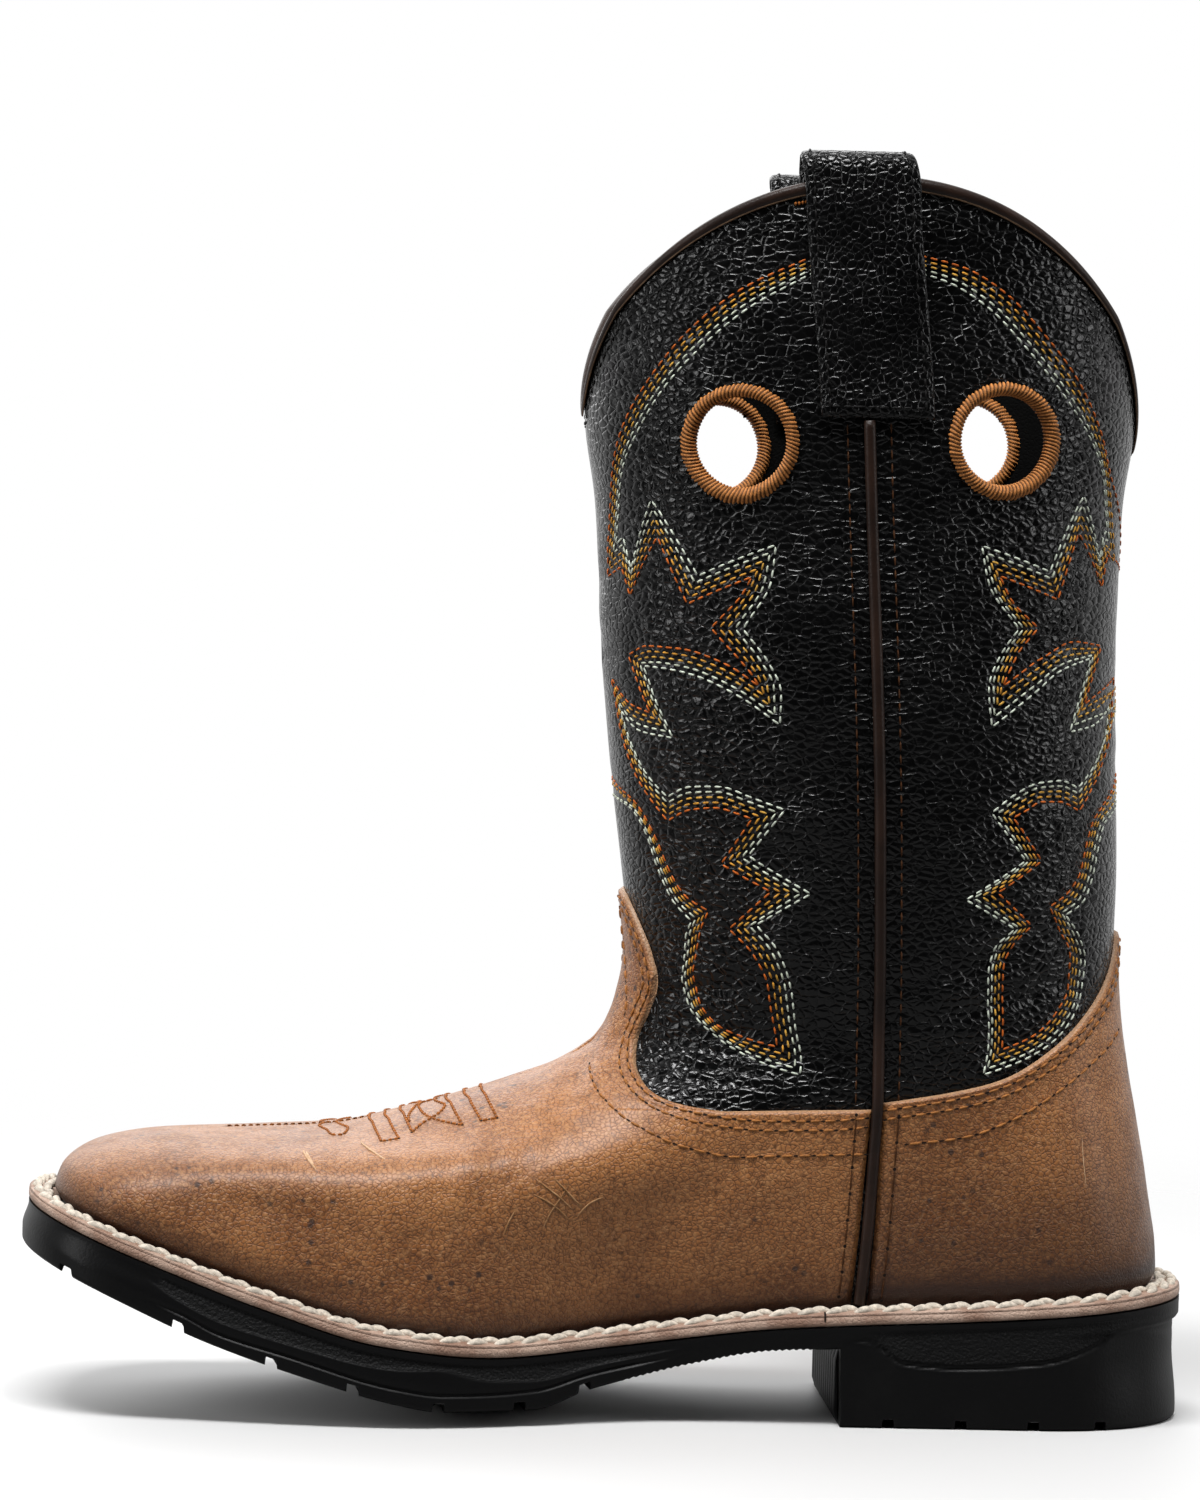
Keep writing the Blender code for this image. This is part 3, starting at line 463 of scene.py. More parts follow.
def make_scratches():
    """Thin lines: noise drawn out about thirtyfold along one direction, of which only the crest is kept."""
    tree, given, result = new_group(
        "scratches",
        (("Place", "Vector", None), ("Turn", "Float", 0.6),
         ("Lines", "Float", 900.0), ("Amount", "Float", 0.7)),
        (("Mask", "Float"),),
    )
    turned = add_node(tree, "VectorRotate", {"Vector": given["Place"], "Angle": given["Turn"]},
                      rotation_type="Y_AXIS").outputs[0]
    drawn = add_node(tree, "VectorMath", {0: turned, 1: SCRATCH_STRETCH}, operation="MULTIPLY").outputs[0]
    noise = add_node(tree, "TexNoise", {"Vector": drawn, "Scale": given["Lines"], "Detail": 1.0})
    crest = {"Value": noise.outputs["Fac"], "From Min": given["Amount"], "From Max": SCRATCH_CREST}
    tree.links.new(add_node(tree, "MapRange", crest).outputs[0], result.inputs["Mask"])
    return tree


CLOUDS, SCRATCHES = make_clouds(), make_scratches()
print("groups:", CLOUDS.name, "and", SCRATCHES.name)

# %% [markdown]
# ## Black leather
#
# The shaft and straps are black tumbled leather: drumming the hide raises round pebbles, and a finish
# leaves a soft shine on them. The pebbles could be modelled, but there are far too many, so the group
# makes them as a bump and the shine follows it. All colours here are linear values.

# %% Material helper
def new_material(name, colour, roughness, specular=0.5):
    """Material with a Principled shader; returns it, its tree, the shader and Object coordinates."""
    material = bpy.data.materials.new(name)
    material.use_nodes = True
    tree = material.node_tree
    shader = tree.nodes["Principled BSDF"]
    shader.inputs["Base Color"].default_value = (*colour, 1)
    shader.inputs["Roughness"].default_value = roughness
    shader.inputs["Specular IOR Level"].default_value = specular
    material.diffuse_color = (*colour, 1)
    return material, tree, shader, tree.nodes.new("ShaderNodeTexCoord").outputs["Object"]


def set_bump(tree, shader, height, depth):
    """Bump from a height, its depth in metres, on the shader's normal."""
    bump = add_node(tree, "Bump", {"Height": height, "Strength": 1.0, "Distance": depth})
    tree.links.new(bump.outputs[0], shader.inputs["Normal"])


# %% Black leathers
BLACK, DEEP_BLACK, WORN_BLACK = (0.0018, 0.0018, 0.0019), (0.0012, 0.0012, 0.0013), (0.0026, 0.0026, 0.0027)
VALLEY_ROUGHER, WORN_HEIGHT = 0.08, (0.85, 1.15)


def black_leather(name, cells, flatten, depth, shine):
    """Tumbled leather: near black, glossier on the pebbles than in the valleys between them. Colour and
    height of the pebbles change a little from patch to patch."""
    material, tree, shader, place = new_material(name, BLACK, shine, 0.30)
    grain = use_group(tree, PEBBLES, {"Place": place, "Cells": cells, "Flatten": flatten, "Bend": 0.8})
    rough = remap(tree, grain["Valley"], 0.0, 1.0, shine, shine + VALLEY_ROUGHER)
    tree.links.new(rough, shader.inputs["Roughness"])
    patches, rubbed = (use_group(tree, CLOUDS, {"Place": place, "Patches": count})["Mask"]
                       for count in (24.0, 38.0))
    tree.links.new(mix_colour(tree, patches, DEEP_BLACK, WORN_BLACK), shader.inputs["Base Color"])
    worn = remap(tree, rubbed, 0.0, 1.0, *WORN_HEIGHT)
    set_bump(tree, shader, calculate(tree, "MULTIPLY", grain["Height"], worn), depth)
    return material


SHAFT_LEATHER = black_leather("black tumbled leather", 375.0, 1.45, 0.00023, 0.18)
STRAP_LEATHER = black_leather("black strap leather", 540.0, 1.0, 0.00021, 0.2)
print("made", SHAFT_LEATHER.name, "and", STRAP_LEATHER.name)

# %% [markdown]
# ## Brown leather
#
# The vamp and counter are pull-up leather, waxed so that it pales where it bends and rubs. It has a short
# nap, cloudy colour, dark specks and fine scratches, laid one over the other as a finisher would, and shade
# painted in near the welt and lower down. Mixing them by masks keeps each one's strength apart, where one
# painted picture would not.

# %% Brown pull-up leather
# The darkest brown is painted shade, laid in the crease by the welt and lower down on vamp and counter.
BROWN = {
    "pale": (0.400, 0.160, 0.048), "deep": (0.230, 0.079, 0.020), "patch": (0.150, 0.053, 0.015),
    "nap": (0.48, 0.235, 0.090), "pore": (0.085, 0.032, 0.010), "scratch": (0.56, 0.33, 0.17),
    "speck": (0.040, 0.020, 0.014), "painted_shade": (0.030, 0.009, 0.003), "core": (0.42, 0.26, 0.15),
}
BROWN_WAX, BROWN_WAX_ROUGHNESS, BROWN_ROUGHNESS = 0.32, 0.38, (0.44, 0.58)
PATCH_SHARE, SCRATCH_SHARE, SPECK_SHARE, SCRATCH_DEPTH = 0.3, 0.55, 0.85, -0.5


def brown_leather():
    """Clouds of two browns, a fine grain with dark pores, a nap, dark specks and faint scratches under a
    thin wax. Two attributes add to them: one paints shade, darkening the leather near the welt and
    lower down on vamp and counter; raw_edge shows the paler core at the cut edge."""
    material, tree, shader, place = new_material("brown pull-up leather", (0.25, 0.125, 0.06), 0.5, 0.32)
    shader.inputs["Coat Weight"].default_value = BROWN_WAX
    shader.inputs["Coat Roughness"].default_value = BROWN_WAX_ROUGHNESS
    broad = use_group(tree, CLOUDS, {"Place": place, "Patches": 20.0, "Low": 0.36, "High": 0.66})["Mask"]
    small = use_group(tree, CLOUDS, {"Place": place, "Patches": 150.0, "Low": 0.38, "High": 0.7})["Mask"]
    nap = add_node(tree, "TexNoise", {"Vector": place, "Scale": 800.0, "Detail": 4.0}).outputs["Fac"]
    grain = use_group(tree, PEBBLES, {"Place": place, "Cells": 850.0, "Flatten": 1.0, "Bend": 0.9})
    pores = calculate(tree, "MULTIPLY", grain["Valley"], remap(tree, nap, 0.68, 0.36, 0.2, 0.9))
    steep, slight = (
        use_group(tree, SCRATCHES, {"Place": place, "Turn": turned, "Lines": count, "Amount": 0.66})["Mask"]
        for turned, count in ((1.15, 900.0), (2.35, 1100.0)))
    lines = calculate(tree, "MULTIPLY", calculate(tree, "MAXIMUM", steep, slight), broad)
    specks = add_node(tree, "TexVoronoi", {"Vector": place, "Scale": 230.0}).outputs["Distance"]
    dark = calculate(tree, "MULTIPLY", remap(tree, specks, 0.24, 0.12), remap(tree, broad, 0.4, 0.8))
    # Painted shade near the welt and lower down comes in by the first of these two attributes.
    painted_shade, raw_edge = (add_node(tree, "Attribute", attribute_name=name).outputs["Fac"]
                         for name in ("painted_shade", "raw_edge"))
    colour = mix_colour(tree, broad, BROWN["pale"], BROWN["deep"])
    for name, share in (
        ("patch", calculate(tree, "MULTIPLY", small, PATCH_SHARE)),
        ("nap", remap(tree, nap, 0.44, 0.7, 0.0, 0.6)),
        ("pore", pores),
        ("scratch", calculate(tree, "MULTIPLY", lines, SCRATCH_SHARE)),
        ("speck", calculate(tree, "MULTIPLY", dark, SPECK_SHARE)),
        ("painted_shade", painted_shade),
        ("core", raw_edge),
    ):
        colour = mix_colour(tree, share, colour, BROWN[name])
    tree.links.new(colour, shader.inputs["Base Color"])
    tree.links.new(remap(tree, small, 0.0, 1.0, *BROWN_ROUGHNESS), shader.inputs["Roughness"])
    relief = calculate(tree, "MULTIPLY_ADD", lines, SCRATCH_DEPTH, grain["Height"])
    set_bump(tree, shader, relief, 0.00014)
    return material


BROWN_LEATHER = brown_leather()
print("made", BROWN_LEATHER.name)

# %% [markdown]
# ## Edge leather, welt, lining, rubber and thread
#
# Cut edges, welt and lining are smooth leathers that differ only in colour, gloss and grain, so one
# function makes them all. The outsole is moulded rubber whose mould was spark-eroded in the side panels:
# an attribute of the mesh says where. Thread is waxed, and shade is painted darkest where two turns of it
# meet.

# %% Edge leather, welt, rubber, lining and thread
def plain_leather(name, dark, pale, patches, roughness, depth, specular=0.25):
    """Smooth leather: two close colours in clouds and a faint fine grain."""
    material, tree, shader, place = new_material(name, dark, roughness, specular)
    clouds = use_group(tree, CLOUDS, {"Place": place, "Patches": patches})["Mask"]
    tree.links.new(mix_colour(tree, clouds, dark, pale), shader.inputs["Base Color"])
    grain = use_group(tree, PEBBLES, {"Place": place, "Cells": 900.0, "Flatten": 1.0, "Bend": 0.6})["Height"]
    set_bump(tree, shader, grain, depth)
    return material


CLEAN_RUBBER, DUSTY_RUBBER = (0.0026, 0.0026, 0.0028), (0.0055, 0.0055, 0.0055)
RUBBER_ROUGHNESS, RUBBER_TEXTURE = (0.40, 0.62), (0.12, 1.0)        # smooth rubber, then moulded texture


def moulded_rubber():
    """Black rubber: matt, with a fine spark-eroded texture where the moulded attribute says so."""
    material, tree, shader, place = new_material("black moulded rubber", (0.003, 0.003, 0.0032), 0.5, 0.18)
    dust = use_group(tree, CLOUDS, {"Place": place, "Patches": 40.0, "Low": 0.5, "High": 0.8})["Mask"]
    tree.links.new(mix_colour(tree, dust, CLEAN_RUBBER, DUSTY_RUBBER), shader.inputs["Base Color"])
    moulded = add_node(tree, "Attribute", attribute_name="moulded").outputs["Fac"]
    fine = add_node(tree, "TexNoise", {"Vector": place, "Scale": 1300.0, "Detail": 2.0}).outputs["Fac"]
    tree.links.new(remap(tree, moulded, 0.0, 1.0, *RUBBER_ROUGHNESS), shader.inputs["Roughness"])
    strength = remap(tree, moulded, 0.0, 1.0, *RUBBER_TEXTURE)
    set_bump(tree, shader, calculate(tree, "MULTIPLY", fine, strength), 0.0005)
    return material


# The gap share paints shade into the gap from one thread to the next.
THREAD_DEEP, THREAD_GAP_SHADE = 0.6, 0.05         # shares of the thread's colour in its patches and its gaps


def thread(name, colour):
    """Waxed thread: one colour, a little darker in patches, with fine fibres. The between attribute
    paints shade into the gap from one thread to the next."""
    material, tree, shader, place = new_material(name, colour, 0.5, 0.15)
    clouds = use_group(tree, CLOUDS, {"Place": place, "Patches": 700.0})["Mask"]
    deep, gap = (tuple(part * value for value in colour) for part in (THREAD_DEEP, THREAD_GAP_SHADE))
    between = add_node(tree, "Attribute", attribute_name="between").outputs["Fac"]
    cloudy = mix_colour(tree, clouds, colour, deep)
    tree.links.new(mix_colour(tree, between, cloudy, gap), shader.inputs["Base Color"])
    fibres = add_node(tree, "TexNoise", {"Vector": place, "Scale": 4500.0}).outputs["Fac"]
    set_bump(tree, shader, fibres, 0.00012)
    return material


EDGE_LEATHER = plain_leather(
    "dark edge leather", (0.013, 0.0062, 0.0040), (0.026, 0.0125, 0.008), 60.0, 0.42, 0.00003)
WELT_LEATHER = plain_leather(
    "tan welt leather", (0.45, 0.32, 0.25), (0.26, 0.155, 0.11), 70.0, 0.55, 0.00012)
CUT_LEATHER = plain_leather(
    "cut leather edge", (0.075, 0.043, 0.024), (0.15, 0.09, 0.05), 200.0, 0.6, 0.00003)
INSOLE_LEATHER = plain_leather(
    "tan insole leather", (0.36, 0.22, 0.12), (0.27, 0.16, 0.085), 18.0, 0.65, 0.0001)
LINING = plain_leather(
    "black lining", (0.0022, 0.0022, 0.0022), (0.004, 0.004, 0.0038), 18.0, 0.75, 0.0001, specular=0.02)
RUBBER = moulded_rubber()
FINISHES = (EDGE_LEATHER, WELT_LEATHER, CUT_LEATHER, INSOLE_LEATHER, LINING, RUBBER)
print("made", ", ".join(made.name for made in FINISHES))

# %% [markdown]
# ## Creases
#
# Leather that has been worn or handled folds where it bends: over the instep, round the ankle, and in
# soft waves down the shaft. Each main crease is listed one by one, as a trough seen from the side with a
# low ridge along each lip. All creases are summed and push the surface along its normal.

# %% Main creases
CREASE = ("x", "z", "reach", "turn", "wide", "deep")
CREASES = (
    (28.0, 88.6, 16.0, -2.0, 1.0, 0.40),
    (29.0, 92.3, 20.0, -3.0, 1.1, 0.50),
    (31.0, 96.4, 20.0, -5.0, 1.2, 0.48),
    (27.0, 100.6, 14.0, 6.0, 1.2, 0.38),
    (20.0, 104.5, 9.0, 12.0, 1.1, 0.30),
    (22.0, 112.0, 13.0, 14.0, 2.4, 0.40),
    (48.0, 118.0, 26.0, 12.0, 3.0, 0.40),
    (95.0, 122.0, 26.0, 20.0, 3.2, 0.45),
    (104.0, 112.0, 20.0, 16.0, 2.6, 0.40),
    (80.0, 108.0, 18.0, 10.0, 2.6, 0.35),
    (8.0, 196.0, 18.0, -26.0, 4.0, 0.55),
    (4.0, 216.0, 16.0, -18.0, 4.0, 0.45),
    (112.0, 205.0, 20.0, 14.0, 4.0, 0.55),
    (118.0, 168.0, 22.0, 20.0, 4.0, 0.45),
    (70.0, 172.0, 30.0, 8.0, 6.0, 0.35),
    (40.0, 150.0, 26.0, -6.0, 5.0, 0.35),
    (-8.0, 84.0, 18.0, 62.0, 2.2, 0.45),
    (-16.0, 76.0, 20.0, 52.0, 2.6, 0.50),
    (-30.0, 66.0, 22.0, 60.0, 3.0, 0.45),
    (-46.0, 52.0, 24.0, 66.0, 3.4, 0.40),
    (2.0, 92.0, 10.0, 74.0, 1.5, 0.40),
    (6.0, 101.0, 9.0, 80.0, 1.3, 0.30),
)
CREASE_SHIFT = 3.0                  # to the heel on the outer side, to the toe on the inner side
LIP_PLACE, LIP_HEIGHT = 1.7, 0.5    # of the ridges beside a trough, against its width and depth
WAVER, WAVER_RATE, UNEVEN, UNEVEN_RATE = 0.4, 0.5, 0.25, 1.1
TOE_FULLNESS, TOE_REACH = 2.4, (-128.0, -75.0, -55.0, 0.0)
TOE_LEVEL, TOE_SHOULDER, TOE_TOP = 3.0, 0.12, (72, 88)


def toe_fullness(points):
    """Squares the shoulder of the toe box. With t running from 0 at the side to 1 on the ridge, and s being t
    over the shoulder's share, the leather stands out by s exp(1 - s) times the fullness, which comes and
    goes along the boot."""
    x = points[..., 0]
    middle = on_line(SWING, x) + CENTRE_Y
    half = np.abs(last_surface(theta_at(x, TOE_LEVEL), TOE_LEVEL)[..., 1] - middle)
    share = np.clip(1 - np.abs(points[..., 1] - middle) / np.maximum(half, 1.0), 0, 1)
    start, full, ease, stop = TOE_REACH
    along = ramp(x, start, full) * (1 - ramp(x, ease, stop))
    shoulder = share / TOE_SHOULDER * np.exp(1 - share / TOE_SHOULDER)
    return TOE_FULLNESS * along * shoulder * (1 - ramp(points[..., 2], *TOE_TOP))


def crease_relief(points):
    """Sum over the creases of a trough -exp(-(a/w)^2) with a lip exp(-(|a|/w - p)^2) on each side, fading
    along the line as exp(-(s/reach)^4). a and s are measured across and along the line, which wavers a
    little with the sine of s. The toe's fullness is added."""
    relief = np.zeros(points.shape[:-1])
    for row in CREASES:
        crease = dict(zip(CREASE, row))
        shift = CREASE_SHIFT * np.sign(points[..., 1])
        dx, dz = points[..., 0] - crease["x"] - shift, points[..., 2] - crease["z"]
        c, s = math.cos(math.radians(crease["turn"])), math.sin(math.radians(crease["turn"]))
        along, across = dx * c + dz * s, (dz * c - dx * s) / crease["wide"]
        across = across + WAVER * np.sin(WAVER_RATE * along + crease["z"])
        wave = LIP_HEIGHT * np.exp(-(np.abs(across) - LIP_PLACE) ** 2) - np.exp(-across**2)
        wave = wave * (1 - UNEVEN + UNEVEN * np.sin(UNEVEN_RATE * along))
        relief += crease["deep"] * wave * np.exp(-((along / crease["reach"]) ** 4))
    return relief + toe_fullness(points)


print(f"{len(CREASES)} creases, the deepest {max(row[-1] for row in CREASES)} mm")

# %% [markdown]
# ## Stitched lines on the shaft
#
# Five rows of thread run side by side in a flame pattern, orange-red at one edge, then two rows of
# amber and two of white. The outermost row and the innermost are charted from the photo as pixels, and
# the three between are shared out evenly. A point marked as a corner ends one run of stitches and
# starts the next. The outer side of the boot repeats the inner side's chart.

# %% Chart of the flames
FLAME = ("white_x", "white_y", "orange_x", "orange_y", "corner")
FRONT_TOP = (
    (818, 270, 818, 254, 1), (750, 307, 740, 290, 0), (700, 348, 688, 331, 0),
    (662, 390, 648, 380, 0), (637, 432, 625, 420, 0), (621, 475, 612, 470, 0),
    (616, 545, 607, 577, 1), (623, 537, 621, 567, 1), (631, 569, 629, 596, 1),
    (651, 500, 657, 537, 1), (698, 576, 687, 604, 1), (776, 545, 752, 577, 1),
    (771, 582, 741, 596, 0), (743, 629, 711, 628, 1), (768, 662, 737, 657, 0),
    (781, 692, 752, 675, 0), (780, 725, 759, 686, 1), (740, 697, 725, 664, 0),
    (693, 675, 682, 649, 0), (660, 668, 648, 646, 0), (642, 666, 627, 655, 1),
    (673, 738, 650, 713, 1), (640, 731, 628, 702, 0), (620, 710, 612, 678, 1),
)
FRONT_LOW = (
    (620, 710, 612, 678, 1), (630, 742, 619, 725, 0), (646, 774, 632, 768, 0),
    (667, 797, 667, 821, 1), (690, 787, 690, 810, 0), (720, 787, 716, 808, 0),
    (752, 798, 738, 814, 0), (785, 810, 752, 819, 1), (748, 856, 721, 864, 1),
    (811, 894, 771, 892, 1), (756, 925, 729, 929, 1), (777, 950, 752, 953, 0),
    (790, 985, 766, 980, 0), (795, 1025, 771, 1010, 0), (800, 1075, 777, 1047, 1),
    (760, 1062, 745, 1038, 0), (715, 1036, 717, 1025, 0), (690, 1008, 700, 1003, 0),
    (682, 975, 693, 970, 0), (685, 940, 699, 935, 0), (691, 921, 708, 911, 1),
    (672, 900, 686, 897, 0), (658, 870, 671, 875, 0), (645, 833, 655, 838, 0),
    (630, 808, 635, 803, 0), (608, 797, 608, 773, 1),
)
REAR_TOP = (
    (918, 272, 918, 255, 1), (952, 284, 965, 268, 0), (990, 309, 1008, 295, 0),
    (1030, 352, 1045, 335, 0), (1064, 395, 1078, 380, 0), (1090, 437, 1100, 428, 0),
    (1104, 480, 1111, 475, 0), (1107, 530, 1117, 573, 1), (1104, 535, 1108, 555, 1),
    (1100, 560, 1102, 588, 1), (1084, 496, 1079, 533, 1), (1050, 572, 1058, 600, 1),
    (982, 546, 1000, 576, 1), (990, 586, 1013, 602, 0), (1019, 629, 1038, 628, 1),
    (1000, 658, 1020, 652, 0), (989, 690, 1008, 675, 0), (992, 727, 1003, 686, 1),
    (1030, 697, 1040, 660, 0), (1062, 670, 1075, 642, 0), (1091, 658, 1101, 646, 1),
    (1070, 732, 1085, 704, 1), (1092, 726, 1100, 692, 0), (1110, 706, 1114, 677, 1),
)
REAR_LOW = (
    (1110, 706, 1114, 677, 1), (1105, 738, 1111, 730, 0), (1094, 768, 1101, 772, 0),
    (1079, 788, 1079, 811, 1), (1062, 781, 1060, 802, 0), (1040, 783, 1043, 802, 0),
    (1014, 796, 1028, 810, 0), (992, 813, 1014, 818, 1), (1026, 861, 1042, 861, 1),
    (966, 900, 998, 893, 1), (1015, 929, 1032, 926, 1), (995, 950, 1012, 948, 0),
    (988, 978, 1003, 972, 0), (989, 1030, 1003, 1012, 0), (983, 1075, 1002, 1050, 1),
    (1028, 1058, 1035, 1035, 0), (1062, 1033, 1058, 1010, 0), (1080, 998, 1069, 985, 0),
    (1085, 962, 1070, 955, 0), (1079, 936, 1060, 930, 0), (1066, 915, 1050, 907, 1),
    (1083, 902, 1067, 894, 0), (1092, 880, 1080, 874, 0), (1098, 850, 1086, 848, 0),
    (1104, 825, 1094, 820, 0), (1117, 800, 1117, 772, 1),
)
ROWS = 5


def charted_run(pixels, corners, per_point=12):
    """Runs of theta and level between the corners of a charted line: the pixels are found on the last,
    then joined by smooth curves."""
    theta, level = find_on_last(in_photo, pixels)
    breaks = np.flatnonzero(corners)
    runs = []
    for start, stop in zip(breaks[:-1], breaks[1:]):
        knots = np.arange(stop - start + 1)
        fine = np.linspace(0, stop - start, per_point * (stop - start) + 1)
        runs.append([smooth(fine, knots, values[start:stop + 1]) for values in (theta, level)])
    return runs


def flame_rows(chart):
    """The five rows of one chart, each a list of runs: pixels shared out between white and orange."""
    table = dict(zip(FLAME, np.array(chart, float).T))
    white, orange = (np.stack([table[row + "_x"], table[row + "_y"]], -1) for row in ("white", "orange"))
    return [charted_run(white * (1 - s) + orange * s, table["corner"]) for s in np.linspace(0, 1, ROWS)]


FLAMES = [flame_rows(chart) for chart in (FRONT_TOP, FRONT_LOW, REAR_TOP, REAR_LOW)]
print(f"{sum(len(row) for chart in FLAMES for row in chart)} runs of stitches on each side")

# %% [markdown]
# ## Shaft and lining
#
# The shaft is one fine grid from the welt to the scalloped collar. The rows of thread pull the leather
# in a little, so the grid sinks along the middle row of each chart. The faces inside the finger holes are
# left out; their raw edges lie under the embroidered rings.

# %% Finger holes and the pull of the thread
SIDES = {"medial": 1, "lateral": -1}        # sign of theta on the inner and the outer side
HOLES = (("front", 26.2, 254.8), ("rear", 94.6, 257.2))
HOLE_RADIUS, RING_RADIUS, RING_BORE = 13.6, 16.2, 12.0
HOLE_DEPTH = 25.0                   # how far a hole reaches along its axis, short of the far wall
PULL_DEPTH, PULL_REACH, PULL_BLOCKS = 0.35, 3.0, 24


def hole_axes():
    """Centre and direction of each finger hole, by place and side."""
    axes = {}
    for place, x, z in HOLES:
        theta, level = find_on_last(in_side_view, (x, z))
        for name, side in SIDES.items():
            axes[place, name] = (last_surface(side * theta, level)[0], outward(side * theta, level)[0])
    return axes


def open_faces(points, faces, radius):
    """Faces whose middle is further than the radius from every finger hole's axis."""
    middle = points.reshape(-1, 3)[faces].mean(1)
    keep = np.ones(len(faces), bool)
    for centre, axis in HOLE_AXES.values():
        away = middle - centre
        along = away @ axis
        clear = np.linalg.norm(away - along[:, None] * axis, axis=1) > radius
        keep &= clear | (np.abs(along) > HOLE_DEPTH)
    return faces[keep]


def thread_pull(points):
    """Depth of the trough along the middle row: the full depth times exp(-(d/reach)^2), d being the
    distance to the row in space. Points on the outer side are measured as their mirror images."""
    middle = np.concatenate([last_surface(*run)[::3] for chart in FLAMES for run in chart[ROWS // 2]])
    inner = points.reshape(-1, 3).copy()
    inner[:, 1] = -np.abs(inner[:, 1])
    nearest = np.full(len(inner), np.inf)
    for block in np.array_split(middle, PULL_BLOCKS):
        squares = ((inner[:, None] - block[None]) ** 2).sum(-1)
        nearest = np.minimum(nearest, squares.min(1))
    return (PULL_DEPTH * np.exp(-nearest / PULL_REACH**2)).reshape(points.shape[:-1])


HOLE_AXES = hole_axes()
print("finger holes at", {key: value[0].round(1).tolist() for key, value in HOLE_AXES.items()})

# %% Make shaft and lining
SHAFT_COLUMNS, SHAFT_ROWS, SHAFT_FOOT = 400, 190, 0.8
LINING_COLUMNS, LINING_ROWS, LINING_FOOT = 160, 90, 0.2
COVERED_LEVEL = 4                   # below it the vamp and counter hide the shaft, which stays smooth


def shaft_grid(columns, rows, lowest):
    """theta and level of a grid whose rows climb from one level to the collar's scalloped edge."""
    theta = np.linspace(0, 2 * math.pi, columns, endpoint=False)
    share = np.linspace(0, 1, rows)[:, None]
    return np.broadcast_to(theta, (rows, columns)), lowest + (collar_level(theta) - lowest) * share


def make_shaft():
    """The last, moved along its normal by the creases less the pull of the thread, with its holes open."""
    theta, level = shaft_grid(SHAFT_COLUMNS, SHAFT_ROWS, SHAFT_FOOT)
    flat = last_surface(theta, level)
    shown = level > COVERED_LEVEL
    relief = np.zeros(level.shape)
    relief[shown] = crease_relief(flat[shown]) - thread_pull(flat[shown])
    points = flat + outward(theta, level) * relief[..., None]
    faces = open_faces(points, grid_faces(*level.shape, wrap_columns=True), HOLE_RADIUS)[:, ::-1]
    put_piece("shaft_leather", points, faces, SHAFT_LEATHER, "black_leather", ("upper",))


def make_lining():
    """The last moved inwards by the wall, facing the foot."""
    theta, level = shaft_grid(LINING_COLUMNS, LINING_ROWS, LINING_FOOT)
    points = last_surface(theta, level) - outward(theta, level) * WALL
    faces = open_faces(points, grid_faces(*level.shape, wrap_columns=True), HOLE_RADIUS)
    put_piece("lining", points, faces, LINING, "black_leather")


make_shaft()
make_lining()

# %% [markdown]
# ## Vamp and counter
#
# Both are sheets laid over the upper and cut to a line. A sheet could be cut out of a larger one, which
# leaves a ragged edge, so here the rows of the grid climb the line itself and the last point of every row
# lies on the cut. The distance to that edge rolls the leather over and presses the two stitch rows in.

# %% Lines and grid of an overlay
# The two lines are x and z seen from the side, from the seam to the tip.
VAMP_LINE = ((67.0, 83.0), (53.0, 81.6), (37.0, 81.2), (21.5, 82.0), (12.3, 83.8), (7.0, 87.4),
             (5.0, 92.6), (5.6, 97.8), (8.6, 106.0), (10.4, 113.6), (8.7, 121.0), (5.0, 130.0), (0.6, 139.5))
COUNTER_LINE = ((67.0, 84.5), (87.0, 87.8), (100.0, 91.2), (113.0, 98.8), (122.0, 107.0), (128.0, 115.0),
                (131.0, 121.5), (132.6, 128.5), (133.6, 131.0))
SEAM_GAP = 0.016                    # angle left free for the piping
OVERLAY_FOOT = 0.85                 # level at which both sheets start, just above the welt's top
EDGE_STITCH = (1.7, 4.0)            # distances of the two stitch rows from the cut edge
EDGE_ROLL = 1.4                     # radius of the cut edge
CUT_POINTS = 600                    # fine steps along a cut line


def cut_line(line, count):
    """theta and level along a line seen from the side, at even steps of its length."""
    knots = np.arange(len(line))
    fine = np.linspace(0, len(line) - 1, CUT_POINTS)
    x, z = (smooth(fine, knots, column) for column in np.array(line).T)
    run = np.concatenate([[0], np.cumsum(np.hypot(np.diff(x), np.diff(z)))])
    even = np.linspace(0, run[-1], count)
    return find_on_last(in_side_view, np.stack([np.interp(even, run, x), np.interp(even, run, z)], -1))


def overlay_grid(line, front, columns, foot_rows, line_rows):
    """theta and level of a sheet. Below the line's start a row runs from seam to seam; above it, from
    the line on one side to the line on the other, up to the row that reaches the tip."""
    theta_edge, level_edge = cut_line(line, line_rows)
    last_row = np.argmax(np.abs(theta_edge - (math.pi if front else 0.0)) < STEP) + 1
    theta_edge, level_edge = theta_edge[:last_row], np.maximum.accumulate(level_edge[:last_row])
    foot = np.linspace(OVERLAY_FOOT, level_edge[0], foot_rows, endpoint=False)
    level = np.concatenate([foot, level_edge])
    theta_edge = np.concatenate([np.full(foot_rows, np.nan), theta_edge])
    gap = seam_theta(level) + (SEAM_GAP if front else -SEAM_GAP)
    theta_edge = np.fmax(theta_edge, gap) if front else np.fmin(theta_edge, gap)
    middle, half = (math.pi, math.pi - theta_edge) if front else (0.0, theta_edge)
    theta = middle + np.linspace(-1, 1, columns)[None] * half[:, None]
    return theta, np.broadcast_to(level[:, None], theta.shape), theta_edge


